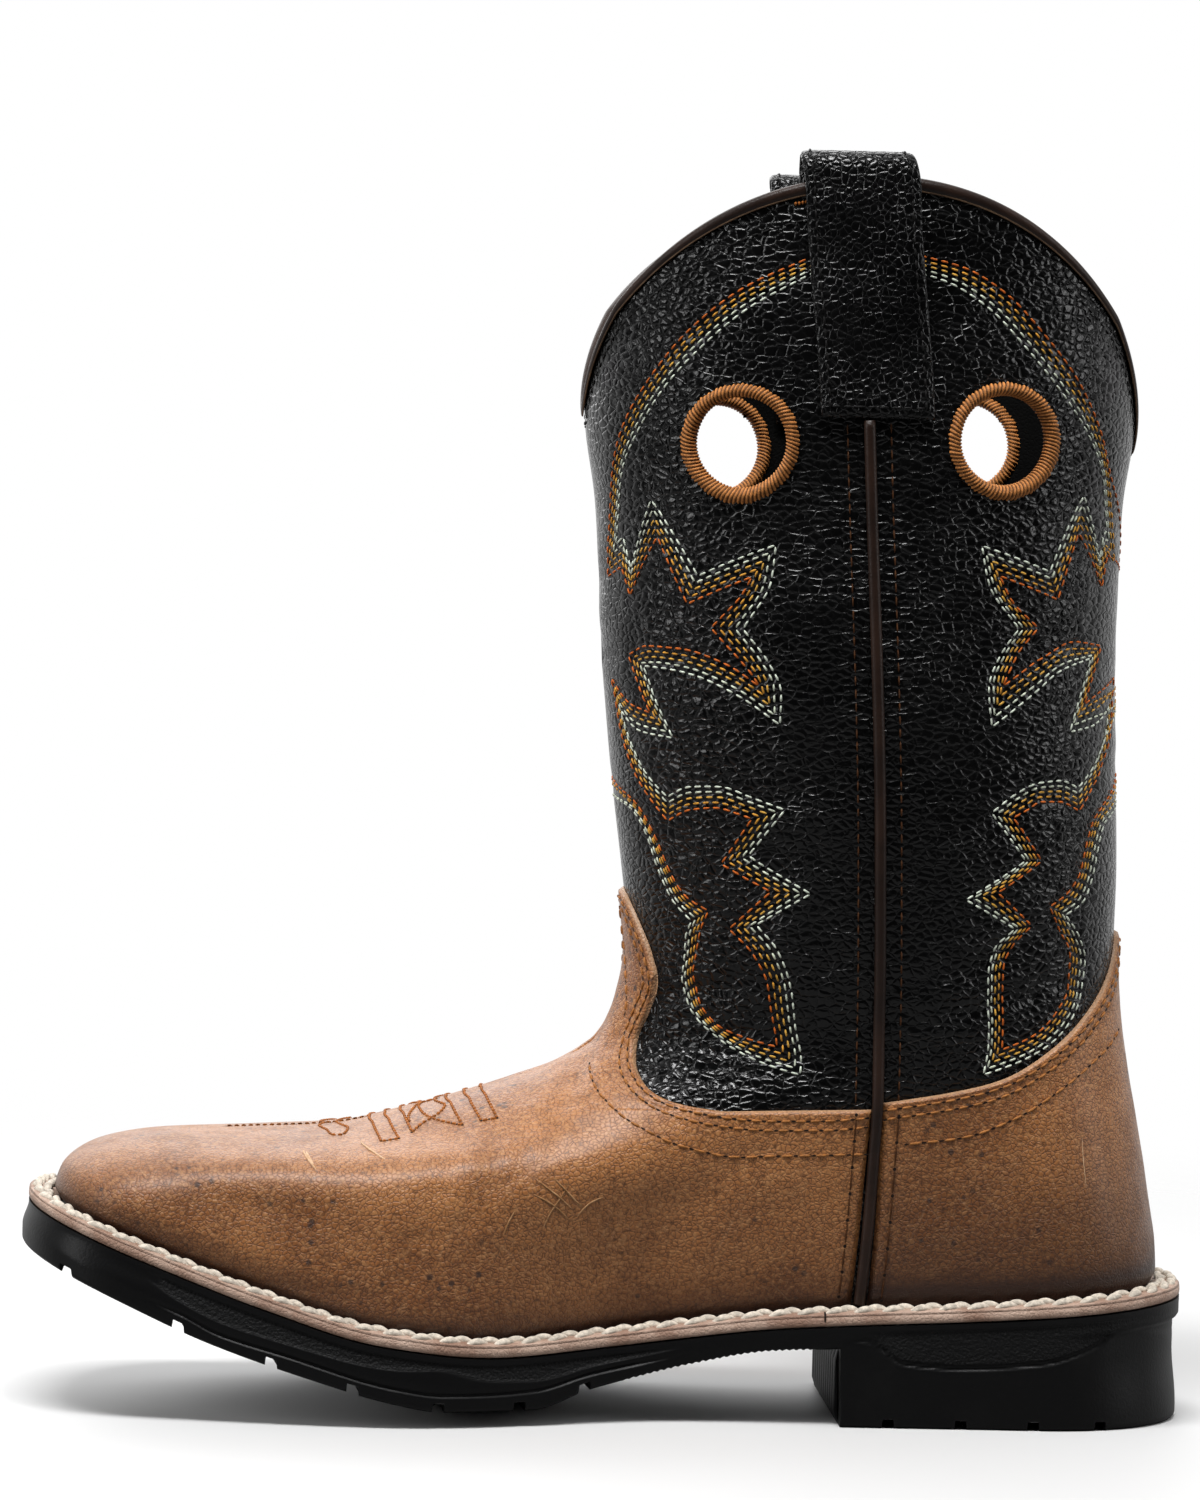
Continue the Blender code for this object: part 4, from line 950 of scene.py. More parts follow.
def edge_distance(theta, level, theta_edge, foot_rows, front):
    """Distance to the cut edge: with h the distance along the row and v up the column, a slanted edge
    lies 1 / sqrt(1/h^2 + 1/v^2) away."""
    here = last_surface(theta, level)
    per_theta = np.linalg.norm(last_surface(theta + STEP, level) - here, axis=-1) / STEP
    per_level = np.linalg.norm(last_surface(theta, level + STEP) - here, axis=-1) / STEP
    inner = math.pi - np.abs(math.pi - np.abs(theta)) if front else np.abs(theta)
    across = np.abs(inner - theta_edge[:, None]) * per_theta
    order = foot_rows + np.argsort(theta_edge[foot_rows:])
    top = np.interp(inner, theta_edge[order], level[order, 0])
    above = np.maximum(top - level, 0) * per_level
    across, above = np.maximum(across, STEP), np.maximum(above, STEP)
    return 1 / np.sqrt(1 / across**2 + 1 / above**2)


print("vamp edge from", last_surface(*(v[0] for v in cut_line(VAMP_LINE, 5))).round(1))

# %% Make vamp and counter
STITCH_TROUGH, TROUGH_WIDTH = 0.18, 0.8
FOOT_LIFT, FOOT_RISE = 0.25, (OVERLAY_FOOT, 1.3)    # share of the thickness at the foot, and where it grows
# Painted shade: nearly black in the crease by the welt, then darker lower down, most on the counter.
WELT_PAINTED_SHADE, WELT_PAINTED_SHADE_HEIGHT, WELT_PAINTED_SHADE_POWER = 0.92, (2.5, 16.0), 1.4
VAMP_PAINTED_SHADE, COUNTER_PAINTED_SHADE, PAINTED_SHADE_HEIGHT = 0.20, 0.66, (10.0, 64.0)
RAW_EDGE, RAW_EDGE_WIDTH = 0.7, (0.1, 0.6)


def make_overlay(name, line, front, columns, foot_rows, line_rows):
    """Sheet laid over the upper: its lift is the thickness times a quarter circle at the cut edge, less
    exp(-(d/w)^2) at the stitch rows, plus the creases. Painted shade fades with the height above the welt."""
    theta, level, theta_edge = overlay_grid(line, front, columns, foot_rows, line_rows)
    away = edge_distance(theta, level, theta_edge, foot_rows, front)
    flat = last_surface(theta, level)
    rolled = np.sqrt(1 - (1 - np.clip(away / EDGE_ROLL, 0, 1)) ** 2)
    lift = (OVERLAY_FIT + OVERLAY) * rolled * (FOOT_LIFT + (1 - FOOT_LIFT) * ramp(level, *FOOT_RISE))
    for row in EDGE_STITCH:
        lift -= STITCH_TROUGH * np.exp(-(((away - row) / TROUGH_WIDTH) ** 2))
    lift += crease_relief(flat)
    points = flat + outward(theta, level) * lift[..., None]
    low = flat[..., 2] - on_line(BASE_LINE, flat[..., 0])
    # painted shade, strongest by the welt and fading upwards
    painted_shade = WELT_PAINTED_SHADE * (1 - ramp(low, *WELT_PAINTED_SHADE_HEIGHT)) ** WELT_PAINTED_SHADE_POWER
    painted_shade += (VAMP_PAINTED_SHADE if front else COUNTER_PAINTED_SHADE) * (1 - ramp(low, *PAINTED_SHADE_HEIGHT))
    raw_edge = RAW_EDGE * (1 - ramp(away, *RAW_EDGE_WIDTH)) * (np.arange(len(level)) >= foot_rows)[:, None]
    faces = grid_faces(*level.shape)[:, ::-1]
    put_piece(name, points, faces, BROWN_LEATHER, "brown_leather", (name.split("_")[0],),
              {"painted_shade": np.clip(painted_shade, 0, 1), "raw_edge": raw_edge})


make_overlay("vamp_leather", VAMP_LINE, front=True, columns=310, foot_rows=70, line_rows=150)
make_overlay("counter_leather", COUNTER_LINE, front=False, columns=220, foot_rows=60, line_rows=120)

# %% [markdown]
# ## Collar binding and side piping
#
# A strip of thin leather is folded over the collar's raw edge, and a cord covers each side seam. Blender
# can bevel a curve for both, but the profile would twist with the curve, so each profile is carried along
# its path with the surface's own normal: a U round the collar, an ellipse down the seam.

# %% Collar binding
def carry(path, normal, across, wide, high):
    """Profile along a path: each station adds wide times across and high times the normal."""
    return path[:, None] + across[:, None] * wide[None, :, None] + normal[:, None] * high[None, :, None]


def close_ends(points):
    """Draws the first and last ring of a tube together at their middles."""
    first, last = (np.broadcast_to(ring.mean(0), ring.shape)[None] for ring in (points[0], points[-1]))
    return np.concatenate([first, points, last])


def round_profile(half_width, half_height, corners=16):
    """Ellipse as two arrays, anticlockwise."""
    angle = np.linspace(0, 2 * math.pi, corners, endpoint=False)
    return half_width * np.cos(angle), half_height * np.sin(angle)


BINDING_LEG, BINDING_THICK, BINDING_CREST, BINDING_COLUMNS = 2.0, 0.75, 1.5, 420
CUT_EDGE_PROFILE, CUT_EDGE_LIFT = (0.3, 0.25, 8), 0.35


def make_binding():
    """U profile, an arc over the edge with a leg down each face, carried round the collar, and the pale
    cut edge of the outer leg as a thin cord."""
    theta = np.linspace(0, 2 * math.pi, BINDING_COLUMNS, endpoint=False)
    level = collar_level(theta)
    edge, normal = last_surface(theta, level), outward(theta, level)
    climb = unit(edge - last_surface(theta, level - 0.1))
    middle, half = -WALL / 2, WALL / 2 + FIT + BINDING_THICK
    arc = np.radians(np.linspace(0, 180, 9))
    leg = np.array([half - 0.6, half - 0.1])        # the leg's tip is tucked in towards the leather
    offset = middle + np.concatenate([leg, half * np.cos(arc), -leg[::-1]])
    crest = BINDING_LEG + BINDING_CREST * np.sin(arc) - 0.1
    height = np.concatenate([[0, 0.2], crest, [0.2, 0]]) - BINDING_LEG
    points = carry(edge, climb, normal, offset, height)
    put_piece("collar_edge", points, grid_faces(*points.shape[:2], wrap_rows=True), EDGE_LEATHER,
              "edge_leather", ("collar_binding",))
    wide, high = round_profile(*CUT_EDGE_PROFILE)
    points = carry(edge - climb * BINDING_LEG + normal * (FIT + CUT_EDGE_LIFT), normal, climb, wide, high)
    faces = grid_faces(*points.shape[:2], wrap_rows=True, wrap_columns=True)[:, ::-1]
    put_piece("collar_cut_edge", points, faces, CUT_LEATHER, "edge_leather")


make_binding()

# %% Side piping
PIPING_RADIUS, PIPING_FLATNESS, PIPING_LIFT = 1.2, 1.25, 1.1
PIPING_TOP, PIPING_FOOT, PIPING_ROWS = 261.4, 0.95, 220


def make_piping(name, side):
    """Flattened cord: an ellipse wider than high, carried down the seam."""
    top = find_on_last(in_side_view, (on_line(SEAM_LINE, PIPING_TOP), PIPING_TOP))[1][0]
    level = np.linspace(PIPING_FOOT, top, PIPING_ROWS)
    theta = side * seam_theta(level)
    path, normal = last_surface(theta, level), outward(theta, level)
    across = unit(np.cross(normal, np.gradient(path, axis=0)))
    wide, high = round_profile(PIPING_FLATNESS * PIPING_RADIUS, PIPING_RADIUS)
    points = close_ends(carry(path, normal, across, wide, high + PIPING_LIFT * PIPING_RADIUS))
    put_piece(name + "_cord", points, grid_faces(*points.shape[:2], wrap_columns=True), EDGE_LEATHER,
              "edge_leather", (name,))


for side_name, side in SIDES.items():
    make_piping(f"piping_{side_name}", side)

# %% [markdown]
# ## Pull straps
#
# Each strap is a folded band that goes over the collar at the seam, sewn down outside and inside, and by
# which the boot is pulled on. It bows off the collar in a low loop. A flat box would not follow the shaft,
# so the strap's path is drawn as offset and height, and every point is then set on the last at that place.

# %% Pull straps
STRAP_WIDTH, STRAP_THICK, STRAP_FIT, STRAP_FOOT, STRAP_RISE = 29.0, 2.2, 0.65, 262.0, 3.6
STRAP_LOOP, STRAP_CLEAR = 1.8, 1.5          # the leg's offset where the loop starts, and its gap above
STRAP_LEAN = 2.2      # how far the outer leg's foot has slipped to the heel, and the inner leg to the toe
STRAP_ROWS, STRAP_COLUMNS, STRAP_POWERS = 150, 64, (9, 2.6)


def strap_path():
    """Offset from the shaft and height along the strap: up outside, over the collar and down inside."""
    edge = COLLAR_SIDE + STRAP_CLEAR
    legs = [(STRAP_FIT, STRAP_FOOT), (STRAP_FIT, STRAP_FOOT + 14), (STRAP_FIT + 0.3, STRAP_FOOT + 32),
            (1.3, edge - 13.5), (STRAP_LOOP, edge - 5.5), (STRAP_LOOP, edge)]
    middle, reach = -WALL / 2, STRAP_LOOP + WALL / 2
    bow = np.radians((25, 55, 90, 125, 155))
    loop = list(zip(middle + reach * np.cos(bow), edge + STRAP_RISE * np.sin(bow)))
    path = np.array(legs + loop + [(-WALL - offset, height) for offset, height in legs[::-1]])
    run = np.concatenate([[0], np.cumsum(np.linalg.norm(np.diff(path, axis=0), axis=1))])
    even = np.linspace(0, run[-1], STRAP_ROWS)
    return np.stack([smooth(even, run, column) for column in path.T], -1)


def strap_surface(side, across, lift):
    """Points of the strap at distances across it and above its inner face, one row a step of the path."""
    path = strap_path()
    ahead = unit(np.gradient(path, axis=0))
    offset = path[:, :1] + lift * ahead[:, 1:]
    height = path[:, 1:] - lift * ahead[:, :1]
    share = np.linspace(0, 1, len(path))
    slip = STRAP_LEAN * (1 - ramp(share, 0, 0.42) - ramp(share, 0.44, 0.54))
    x = (on_line(SEAM_LINE, path[:, 1]) + slip)[:, None] + across
    level = np.interp(np.broadcast_to(path[:, 1:], x.shape), TABLE["rear_z"], LEVELS)
    theta = side * theta_at(x, level)
    points = last_surface(theta, level) + outward(theta, level) * offset[..., None]
    points[..., 2] = height
    return points


def make_strap(name, side):
    """Rounded rectangle, a superellipse of one power across and another through, along the strap's path.
    Its first and last rows are thinner, so that the ends are rounded too."""
    angle = np.linspace(0, 2 * math.pi, STRAP_COLUMNS, endpoint=False)
    squared, raised = (np.sign(wave) * np.abs(wave) ** (2 / power)
                       for wave, power in zip((np.cos(angle), np.sin(angle)), STRAP_POWERS))
    ends = np.minimum(np.arange(STRAP_ROWS), np.arange(STRAP_ROWS)[::-1])[:, None]
    full = np.clip(0.55 + 0.25 * ends, 0, 1)
    across = STRAP_WIDTH / 2 * squared * (1 - 0.02 * (1 - full))
    lift = STRAP_THICK / 2 * (1 + raised * full)
    points = close_ends(strap_surface(side, across, lift))
    faces = grid_faces(*points.shape[:2], wrap_columns=True)
    faces = faces if side < 0 else faces[:, ::-1]
    put_piece(name + "_leather", points, faces, STRAP_LEATHER, "strap_leather", (name,))


for side_name, side in SIDES.items():
    make_strap(f"pull_strap_{side_name}", side)

# %% [markdown]
# ## Embroidered rings
#
# The finger holes are bound with satin stitch: threads laid close together from the hole's edge to the
# leather round it, over both faces. A torus with a striped bump would look flat at its outline, so the
# ring's surface itself swells with every thread, and shade is painted into the gaps between threads.

# %% Embroidered rings
RING_THREADS, RING_STEPS, RING_CORNERS = 84, 6, 18          # steps are for each thread
RING_RIDGE, RING_LEAN, RING_TUCK, RING_PAD = 0.5, 0.05, 0.3, 1.3
RING_UNEVEN = ((0.25, 17, 0), (0.2, 41, 1))                 # depth, number of waves round the ring, start
EMBROIDERY = thread("brown embroidery thread", (0.60, 0.235, 0.065))


def make_ring(place, side_name):
    """Padded ring lapped over both faces: a closed profile turned about the hole's axis, swelling with
    |sin| of the angle so that it shows its threads, which lean a little as they go over."""
    axis = HOLE_AXES[place, side_name][1]
    side = SIDES[side_name]
    x, z = next((x, z) for hole, x, z in HOLES if hole == place)
    turn = np.linspace(0, 2 * math.pi, RING_STEPS * RING_THREADS, endpoint=False)[:, None]
    profile = np.linspace(0, 2 * math.pi, RING_CORNERS, endpoint=False)[None]
    uneven = sum(deep * np.sin(turn * waves + start) for deep, waves, start in RING_UNEVEN)
    thread_turn = np.abs(np.sin((turn + RING_LEAN * np.cos(profile)) * RING_THREADS / 2))
    middle, half = (RING_RADIUS + RING_BORE) / 2, (RING_RADIUS - RING_BORE) / 2 - RING_TUCK
    ridge = RING_RIDGE * (thread_turn - 0.5)
    radius = middle + (half + ridge + 0.5 * uneven * (np.cos(profile) > 0.5)) * np.cos(profile)
    lift = -WALL / 2 + (WALL / 2 + RING_PAD + ridge) * np.sin(profile)
    across = x + radius * np.cos(turn) * abs(axis[1])
    height = z + radius * np.sin(turn)
    level = np.interp(height, TABLE["rear_z"], LEVELS)
    theta = side * theta_at(across, level)
    points = last_surface(theta, level) + outward(theta, level) * lift[..., None]
    faces = grid_faces(*points.shape[:2], wrap_rows=True, wrap_columns=True)
    faces = faces[:, ::-1] if side > 0 else faces
    node = f"hole_ring_{place}_{side_name}"
    # The between attribute paints shade into the gaps from one thread to the next.
    put_piece(node + "_thread", points, faces, EMBROIDERY, "brown_thread", (node,),
              {"between": 1 - ramp(thread_turn, 0.3, 0.8)})


for place, side_name in HOLE_AXES:
    make_ring(place, side_name)

# %% [markdown]
# ## Welt
#
# The welt is the strip of raw leather that joins upper and sole, and it carries the two rows of stitches
# seen all round the boot. Its profile slopes from the upper to a rounded outer edge. Scaling the last's
# outline would thin the strip at the toe, so the outline is set out along its own normals.

# %% Plan of the sole
def outline(theta, offset):
    """Plan of the last at the feather line, set out along its edge normal."""
    points = last_surface(theta, 0.0)
    turn = last_surface(theta + STEP, 0.0) - last_surface(theta - STEP, 0.0)
    normal = unit(np.stack([-turn[..., 1], turn[..., 0], 0 * turn[..., 0]], -1))
    return points + normal * np.asarray(offset)[..., None]


def welt_surface(theta, offset, height):
    """Points at an offset from the last and a height above the outsole's top."""
    points = outline(theta, offset)
    points[..., 2] = on_line(BASE_LINE, points[..., 0]) + height
    return points


WELT_COLUMNS = 720
WELT_PROFILE = (                    # offset from the last, and height above the outsole's top
    (FIT, SEAT), (WELT_WIDTH - 0.3, SEAT), (WELT_WIDTH, SEAT + 0.4), (WELT_WIDTH + 0.05, 1.6),
    (WELT_WIDTH, 2.7), (WELT_WIDTH - 0.45, 2.95), (WELT_WIDTH - 0.1, 3.2), (WELT_WIDTH - 0.6, 3.6),
    (WELT_WIDTH - 1.6, 3.9), (5.2, 3.95), (4.2, 3.95), (3.0, 3.9), (2.2, 3.5), (1.4, 2.8), (FIT, 2.4),
)


def make_welt():
    """Profile of the strip: foot, upright side with a groove, rounded shoulder, gently sloping top, and a
    fall to the upper that leaves the dark crevice seen along the vamp."""
    offset, height = np.array(WELT_PROFILE).T
    theta = np.linspace(0, 2 * math.pi, WELT_COLUMNS, endpoint=False)
    points = welt_surface(theta[:, None], np.broadcast_to(offset, (len(theta), len(offset))), height)
    faces = grid_faces(*points.shape[:2], wrap_rows=True, wrap_columns=True)
    put_piece("welt_strip", points, faces, WELT_LEATHER, "welt_leather", ("welt",))


make_welt()

# %% [markdown]
# ## Outsole
#
# The outsole is one moulding of black rubber with a low heel. Its side carries a recessed, textured panel
# and a groove, and its tread has cross channels and fine ribs under the arch. Boolean cuts would leave
# ragged faces, so panel and groove are read from a table along the boot and move the side in and out, and
# each channel's edges get their own columns in the grid.

# %% Tread and side of the outsole
FORE_CHANNELS = (-141.0, -112.5, -88.5, -67.5, -45.5, -24.5, -7.5)
HEEL_CHANNELS = (72.0, 91.0, 110.0, 128.0)
CHANNELS = np.array(FORE_CHANNELS + HEEL_CHANNELS)
CHANNEL_WIDTH, CHANNEL_DEPTH, CHANNEL_SLOPE, HEEL_BREAST = 3.0, 2.4, 0.2, 59.2
ARCH_RIBS, ARCH_RIB_DEPTH, ARCH_RIB_FADE = (0.0, 56.0, 1.8), 0.25, 6        # ribs from x, to x, pitch
FLAT_SHARE, CROWN_POWER = 0.25, 1.2         # share of the half width that is flat, and how the rest rises
SOLE_COLUMNS, DENSE_COLUMNS = 300, 4000
TREAD = ("x", "edge", "crown")
TREAD_LINE = (
    (-156, 43.5, 1.0), (-130, 31.9, 1.2), (-104.6, 20.8, 1.8), (-76.6, 11.7, 3.0), (-57, 6.3, 3.8),
    (-44, 4.2, 4.2), (-21, 4.2, 4.2), (-6, 9.0, 3.2), (7, 12.2, 2.4), (20, 15.5, 1.8), (41, 19.4, 1.0),
    (60, 20.4, 0.5),
)
SIDE = ("x", "panel", "groove", "panel_cut", "groove_cut", "swell")
SIDE_LINES = (
    (-156, 0.30, 0.66, 0.0, 0.0, 1.6), (-122, 0.30, 0.66, 0.0, 0.0, 1.2), (-112, 0.44, 0.66, 0.6, 0.6, 1.0),
    (-102, 0.52, 0.74, 0.6, 0.7, 0.9), (-81, 0.46, 0.68, 0.6, 0.7, 0.8), (-57, 0.37, 0.70, 0.6, 0.7, 0.8),
    (-45, 0.26, 0.69, 0.6, 0.7, 0.8), (-32, 0.43, 0.67, 0.6, 0.7, 0.8), (-18, 0.46, 0.62, 0.6, 0.7, 0.8),
    (0, 0.40, 0.58, 0.6, 0.7, 0.6), (22, 0.34, 0.55, 0.0, 0.0, 0.2), (59, 0.12, 0.12, 0.0, 0.0, 0.0),
    (66, 0.14, 0.14, 0.3, 0.8, 0.0), (76, 0.36, 0.37, 0.5, 1.0, 0.0), (93, 0.41, 0.42, 0.5, 1.0, 0.0),
    (112, 0.38, 0.39, 0.5, 1.0, 0.0), (126, 0.26, 0.27, 0.5, 0.9, -0.5), (134, 0.14, 0.14, 0.3, 0.4, -1.0),
    (156, 0.16, 0.30, 0.0, 0.0, -1.4),
)


def tread_height(x, aside, heel, cut=True):
    """Flat under the heel and the middle of the ball; elsewhere the edge height less a crown that fades
    to the edge. Channels and fine arch ribs are added to it where cut is set."""
    columns = dict(zip(TREAD, np.array(TREAD_LINE).T))
    edge, crown = (smooth(x, columns["x"], columns[name]) for name in ("edge", "crown"))
    sole = edge - crown * (1 - np.clip((aside - FLAT_SHARE) / (1 - FLAT_SHARE), 0, 1) ** CROWN_POWER)
    gap = np.abs(x[..., None] - CHANNELS).min(-1)
    channel = fall(gap, (CHANNEL_WIDTH - CHANNEL_SLOPE) / 2, (CHANNEL_WIDTH + CHANNEL_SLOPE) / 2)
    channel = channel * CHANNEL_DEPTH
    start, stop, pitch = ARCH_RIBS
    ribbed = ramp(x, start, start + ARCH_RIB_FADE) * ramp(-x, -stop, ARCH_RIB_FADE - stop)
    ribs = ARCH_RIB_DEPTH * ribbed * (1 + np.cos(2 * math.pi * x / pitch))
    return np.where(heel, 0.0, sole + ribs * cut) + channel * cut


def sole_columns():
    """Angles in facing pairs: an even set, the edges of each channel, fine steps over the arch ribs,
    and two columns for the upright breast of the heel."""
    half = np.linspace(0, math.pi, SOLE_COLUMNS)
    foot, top = (CHANNEL_WIDTH + CHANNEL_SLOPE) / 2, (CHANNEL_WIDTH - CHANNEL_SLOPE) / 2
    walls = (CHANNELS[:, None] + np.array((-foot, -top, top, foot))).ravel()
    ribs = np.arange(ARCH_RIBS[0], ARCH_RIBS[1], ARCH_RIBS[2] / 4)
    dense = np.linspace(0, math.pi, DENSE_COLUMNS)
    added = []
    for side in (1, -1):
        x = outline(side * dense, np.full(dense.shape, WELT_WIDTH))[:, 0]
        added.append(np.interp(-walls, -x, dense))
    breast = theta_at(np.array([HEEL_BREAST, HEEL_BREAST + 0.3]), np.zeros(2))
    half = np.unique(np.concatenate([half, *added, np.interp(-ribs, -x, dense), breast]).round(6))
    return np.concatenate([half, 2 * math.pi - half[-2:0:-1]])


SOLE_THETA = sole_columns()
print(f"{len(SOLE_THETA)} columns round the outsole")

# %% Make the outsole
SIDE_ROWS, FOOT_ROWS, TREAD_POINTS = 40, 14, 29
FOOT_SHARE = 0.87                           # share of the side at which the fine rows of the foot start
PANEL_TOP, PANEL_SLOPE, GROOVE_WIDTH = (1.3, 2.0), 0.7, 0.5
LEDGE, LEDGE_FADE, LEDGE_OUT = (4.6, 5.6), (0.4, 0.9), 1.2
SWELL_RISE, FOOT_ROUND, FOOT_INSET = (0.05, 0.6), 1.6, 1.5


def sole_side(theta, share, heel):
    """Side of the moulding. The share runs down it; the offset swells to the groove, is cut back over the
    panel, dips at the groove as exp(-(d/w)^2) and rounds off at the foot in a quarter of an ellipse. A
    negative swell leaves a ledge above it."""
    plan_x = outline(theta, np.full(theta.shape, WELT_WIDTH))[..., 0]
    table = np.array(SIDE_LINES).T
    side = {name: smooth(plan_x, table[0], table[k]) for k, name in enumerate(SIDE) if k}
    top = on_line(BASE_LINE, plan_x)
    edge = np.ones(plan_x.shape)
    tall = top - tread_height(plan_x, edge, heel, cut=False)
    down = share * tall
    panel, groove = side["panel"] * tall, side["groove"] * tall
    window = ramp(down, *PANEL_TOP) * (1 - ramp(down, panel - PANEL_SLOPE, panel))
    ledge = ramp(down, *LEDGE) * (1 - 0.8 * heel * ramp(share, *LEDGE_FADE))
    swell = side["swell"] * np.where(side["swell"] < 0, LEDGE_OUT * ledge, ramp(share, *SWELL_RISE))
    foot = np.clip((down - tall + FOOT_ROUND) / FOOT_ROUND, 0, 1)
    offset = WELT_WIDTH + swell - side["panel_cut"] * window
    offset -= side["groove_cut"] * np.exp(-(((down - groove) / GROOVE_WIDTH) ** 2))
    offset -= FOOT_INSET * (1 - np.sqrt(1 - foot**2 * 0.98))
    points = outline(theta, offset)
    points[..., 2] = np.maximum(top - down, tread_height(plan_x, edge, heel))
    return points, window * ramp(side["panel_cut"], 0.1, 0.5)


def make_outsole():
    """Three grids in one mesh: the side, the tread drawn straight from its inner to its outer edge, and a
    cover drawn in from the top of the side, which the insole and the upper hide."""
    side_share = np.linspace(0, FOOT_SHARE - 0.01, SIDE_ROWS)
    share = np.concatenate([side_share, np.linspace(FOOT_SHARE, 1, FOOT_ROWS)])[:, None]
    rows, columns = len(share), len(SOLE_THETA)
    theta = np.broadcast_to(SOLE_THETA, (rows, columns))
    breast = math.cos(float(theta_at(HEEL_BREAST + 0.15, 0.0)))
    heel = np.cos(SOLE_THETA) > breast
    points, moulded = sole_side(theta, share, heel[None])
    half = columns // 2
    ring = points[-1]
    inner, outer = ring[: half + 1], np.concatenate([ring[:1], ring[: half - 1 : -1]])
    s = np.linspace(0, 1, TREAD_POINTS)[None, :, None]
    tread = inner[:, None] * (1 - s) + outer[:, None] * s
    aside = np.abs(2 * s[..., 0] - 1) * np.ones((half + 1, 1))
    tread[..., 2] = tread_height(tread[..., 0], aside, heel[: half + 1, None])
    count = points[..., 0].size
    side_faces = grid_faces(rows, columns, wrap_columns=True)
    tread_faces = grid_faces(half + 1, TREAD_POINTS)[:, ::-1] + count
    cover = np.concatenate([points[:1], points[:1] * (0.1, 0.1, 1)])
    cover[1, :, 2] = on_line(BASE_LINE, cover[1, :, 0])
    cover_faces = grid_faces(2, columns, wrap_columns=True)[:, ::-1] + count + tread[..., 0].size
    everything = np.concatenate([part.reshape(-1, 3) for part in (points, tread, cover)])
    extra = np.zeros(tread[..., 0].size + cover[..., 0].size)
    put_piece("moulded_outsole", everything, np.concatenate([side_faces, tread_faces, cover_faces]), RUBBER,
              "black_rubber", ("outsole",), {"moulded": np.concatenate([moulded.ravel(), extra])})


make_outsole()

# %% [markdown]
# ## Breast of the heel
#
# The heel's front face, its breast, has upright ribs that give grip on a ladder or a stirrup. They are a
# separate sheet just in front of the moulding, because the outsole's own columns run the other way.

# %% Ribbed breast of the heel
BREAST_RIBS, BREAST_RIB, BREAST_POWER, BREAST_FADE = 11, 0.9, 0.6, 0.6
BREAST_HALF, BREAST_FOOT, BREAST_TOP = 33, 0.6, 19.5


def make_breast():
    """Upright ribs on the heel's front face: a sheet in y and z whose x goes in and out as a power of
    |cos| of y, and lies flat at its rim."""
    y, z = np.meshgrid(np.linspace(-BREAST_HALF, BREAST_HALF, 221), np.linspace(BREAST_FOOT, BREAST_TOP, 8))
    ribs = np.abs(np.cos(y / (2 * BREAST_HALF) * math.pi * BREAST_RIBS)) ** BREAST_POWER
    rim = (z - BREAST_FOOT, BREAST_TOP - z, BREAST_HALF - np.abs(y))
    fade = np.prod([ramp(inside, 0, BREAST_FADE) for inside in rim], axis=0)
    points = np.stack([HEEL_BREAST - 0.1 - BREAST_RIB * ribs * fade, y + CENTRE_Y, z], -1)
    put_piece("heel_breast_ribs", points, grid_faces(*y.shape)[:, ::-1], RUBBER, "black_rubber", (),
              {"moulded": np.zeros(y.shape)})


make_breast()

# %% [markdown]
# ## Thread
#
# A stitch is a short round thread whose ends dive into the leather. One function sews any line: it
# divides the line by the pitch, sets a row of rings along each stitch, and joins them all in one mesh,
# with no loop over stitches. Thousands of stitches stay cheap because each has a few dozen faces. The
# five rows of the flames are sewn first.

# %% Sewing
STITCH_SINK, STITCH_FLATNESS = 0.38, 0.85
# Flat dark patches that paint the shade inside needle holes; the welt's joint line uses the same colour.
NEEDLE_HOLE = plain_leather(
    "needle hole", (0.008, 0.003, 0.0015), (0.014, 0.006, 0.003), 400.0, 0.8, 0.00003)


def divide(line, pitch):
    """Running length along a line of points, and the number of stitches that it takes."""
    run = np.concatenate([[0], np.cumsum(np.linalg.norm(np.diff(line, axis=0), axis=1))])
    return run, max(1, round(run[-1] / pitch))


def along_line(values, run, at):
    """Values of a line read at running lengths, column by column."""
    return np.stack([np.interp(at, run, column) for column in values.T], -1)


def many_faces(face, count, size):
    """Faces of one small mesh repeated, each copy numbered after the last."""
    return (face[None] + (np.arange(count) * size)[:, None, None]).reshape(-1, face.shape[1])


def sew(name, lines, pitch, width, material, slot,
        fill=0.84, blunt=3.5, plump=0.55, slant=0.0, rings=5, around=6):
    """Ring s of a stitch has the radius width/2 (1.02 - |2s - 1|^blunt), which leaves a fine tip, and sits
    on the leather in the middle, under it at both ends; a slant sets it askew. lines holds pairs of points
    and normals."""
    along = np.linspace(0, 1, rings)
    swell = (1.02 - np.abs(2 * along - 1) ** blunt)[None, :, None, None]
    angle = np.linspace(0, 2 * math.pi, around, endpoint=False)[None, None, :, None]
    blocks = []
    for points, normals in lines:
        run, count = divide(points, pitch)
        at = (np.arange(count)[:, None] + 0.5 + (along - 0.5) * fill) * run[-1] / count
        place, normal = along_line(points, run, at), along_line(normals, run, at)
        across = unit(np.cross(normal, np.gradient(place, axis=1)))[:, :, None]
        normal, askew = normal[:, :, None], slant * width * (along - 0.5)[None, :, None, None]
        ring = across * np.cos(angle) + normal * np.sin(angle) * STITCH_FLATNESS
        middle = place[:, :, None] + across * askew + normal * width * (plump * swell - STITCH_SINK)
        blocks.append(middle + width / 2 * swell * ring)
    stitches = np.concatenate(blocks)
    faces = many_faces(grid_faces(rings, around, wrap_columns=True), len(stitches), rings * around)
    put_piece(name, stitches, faces, material, slot)


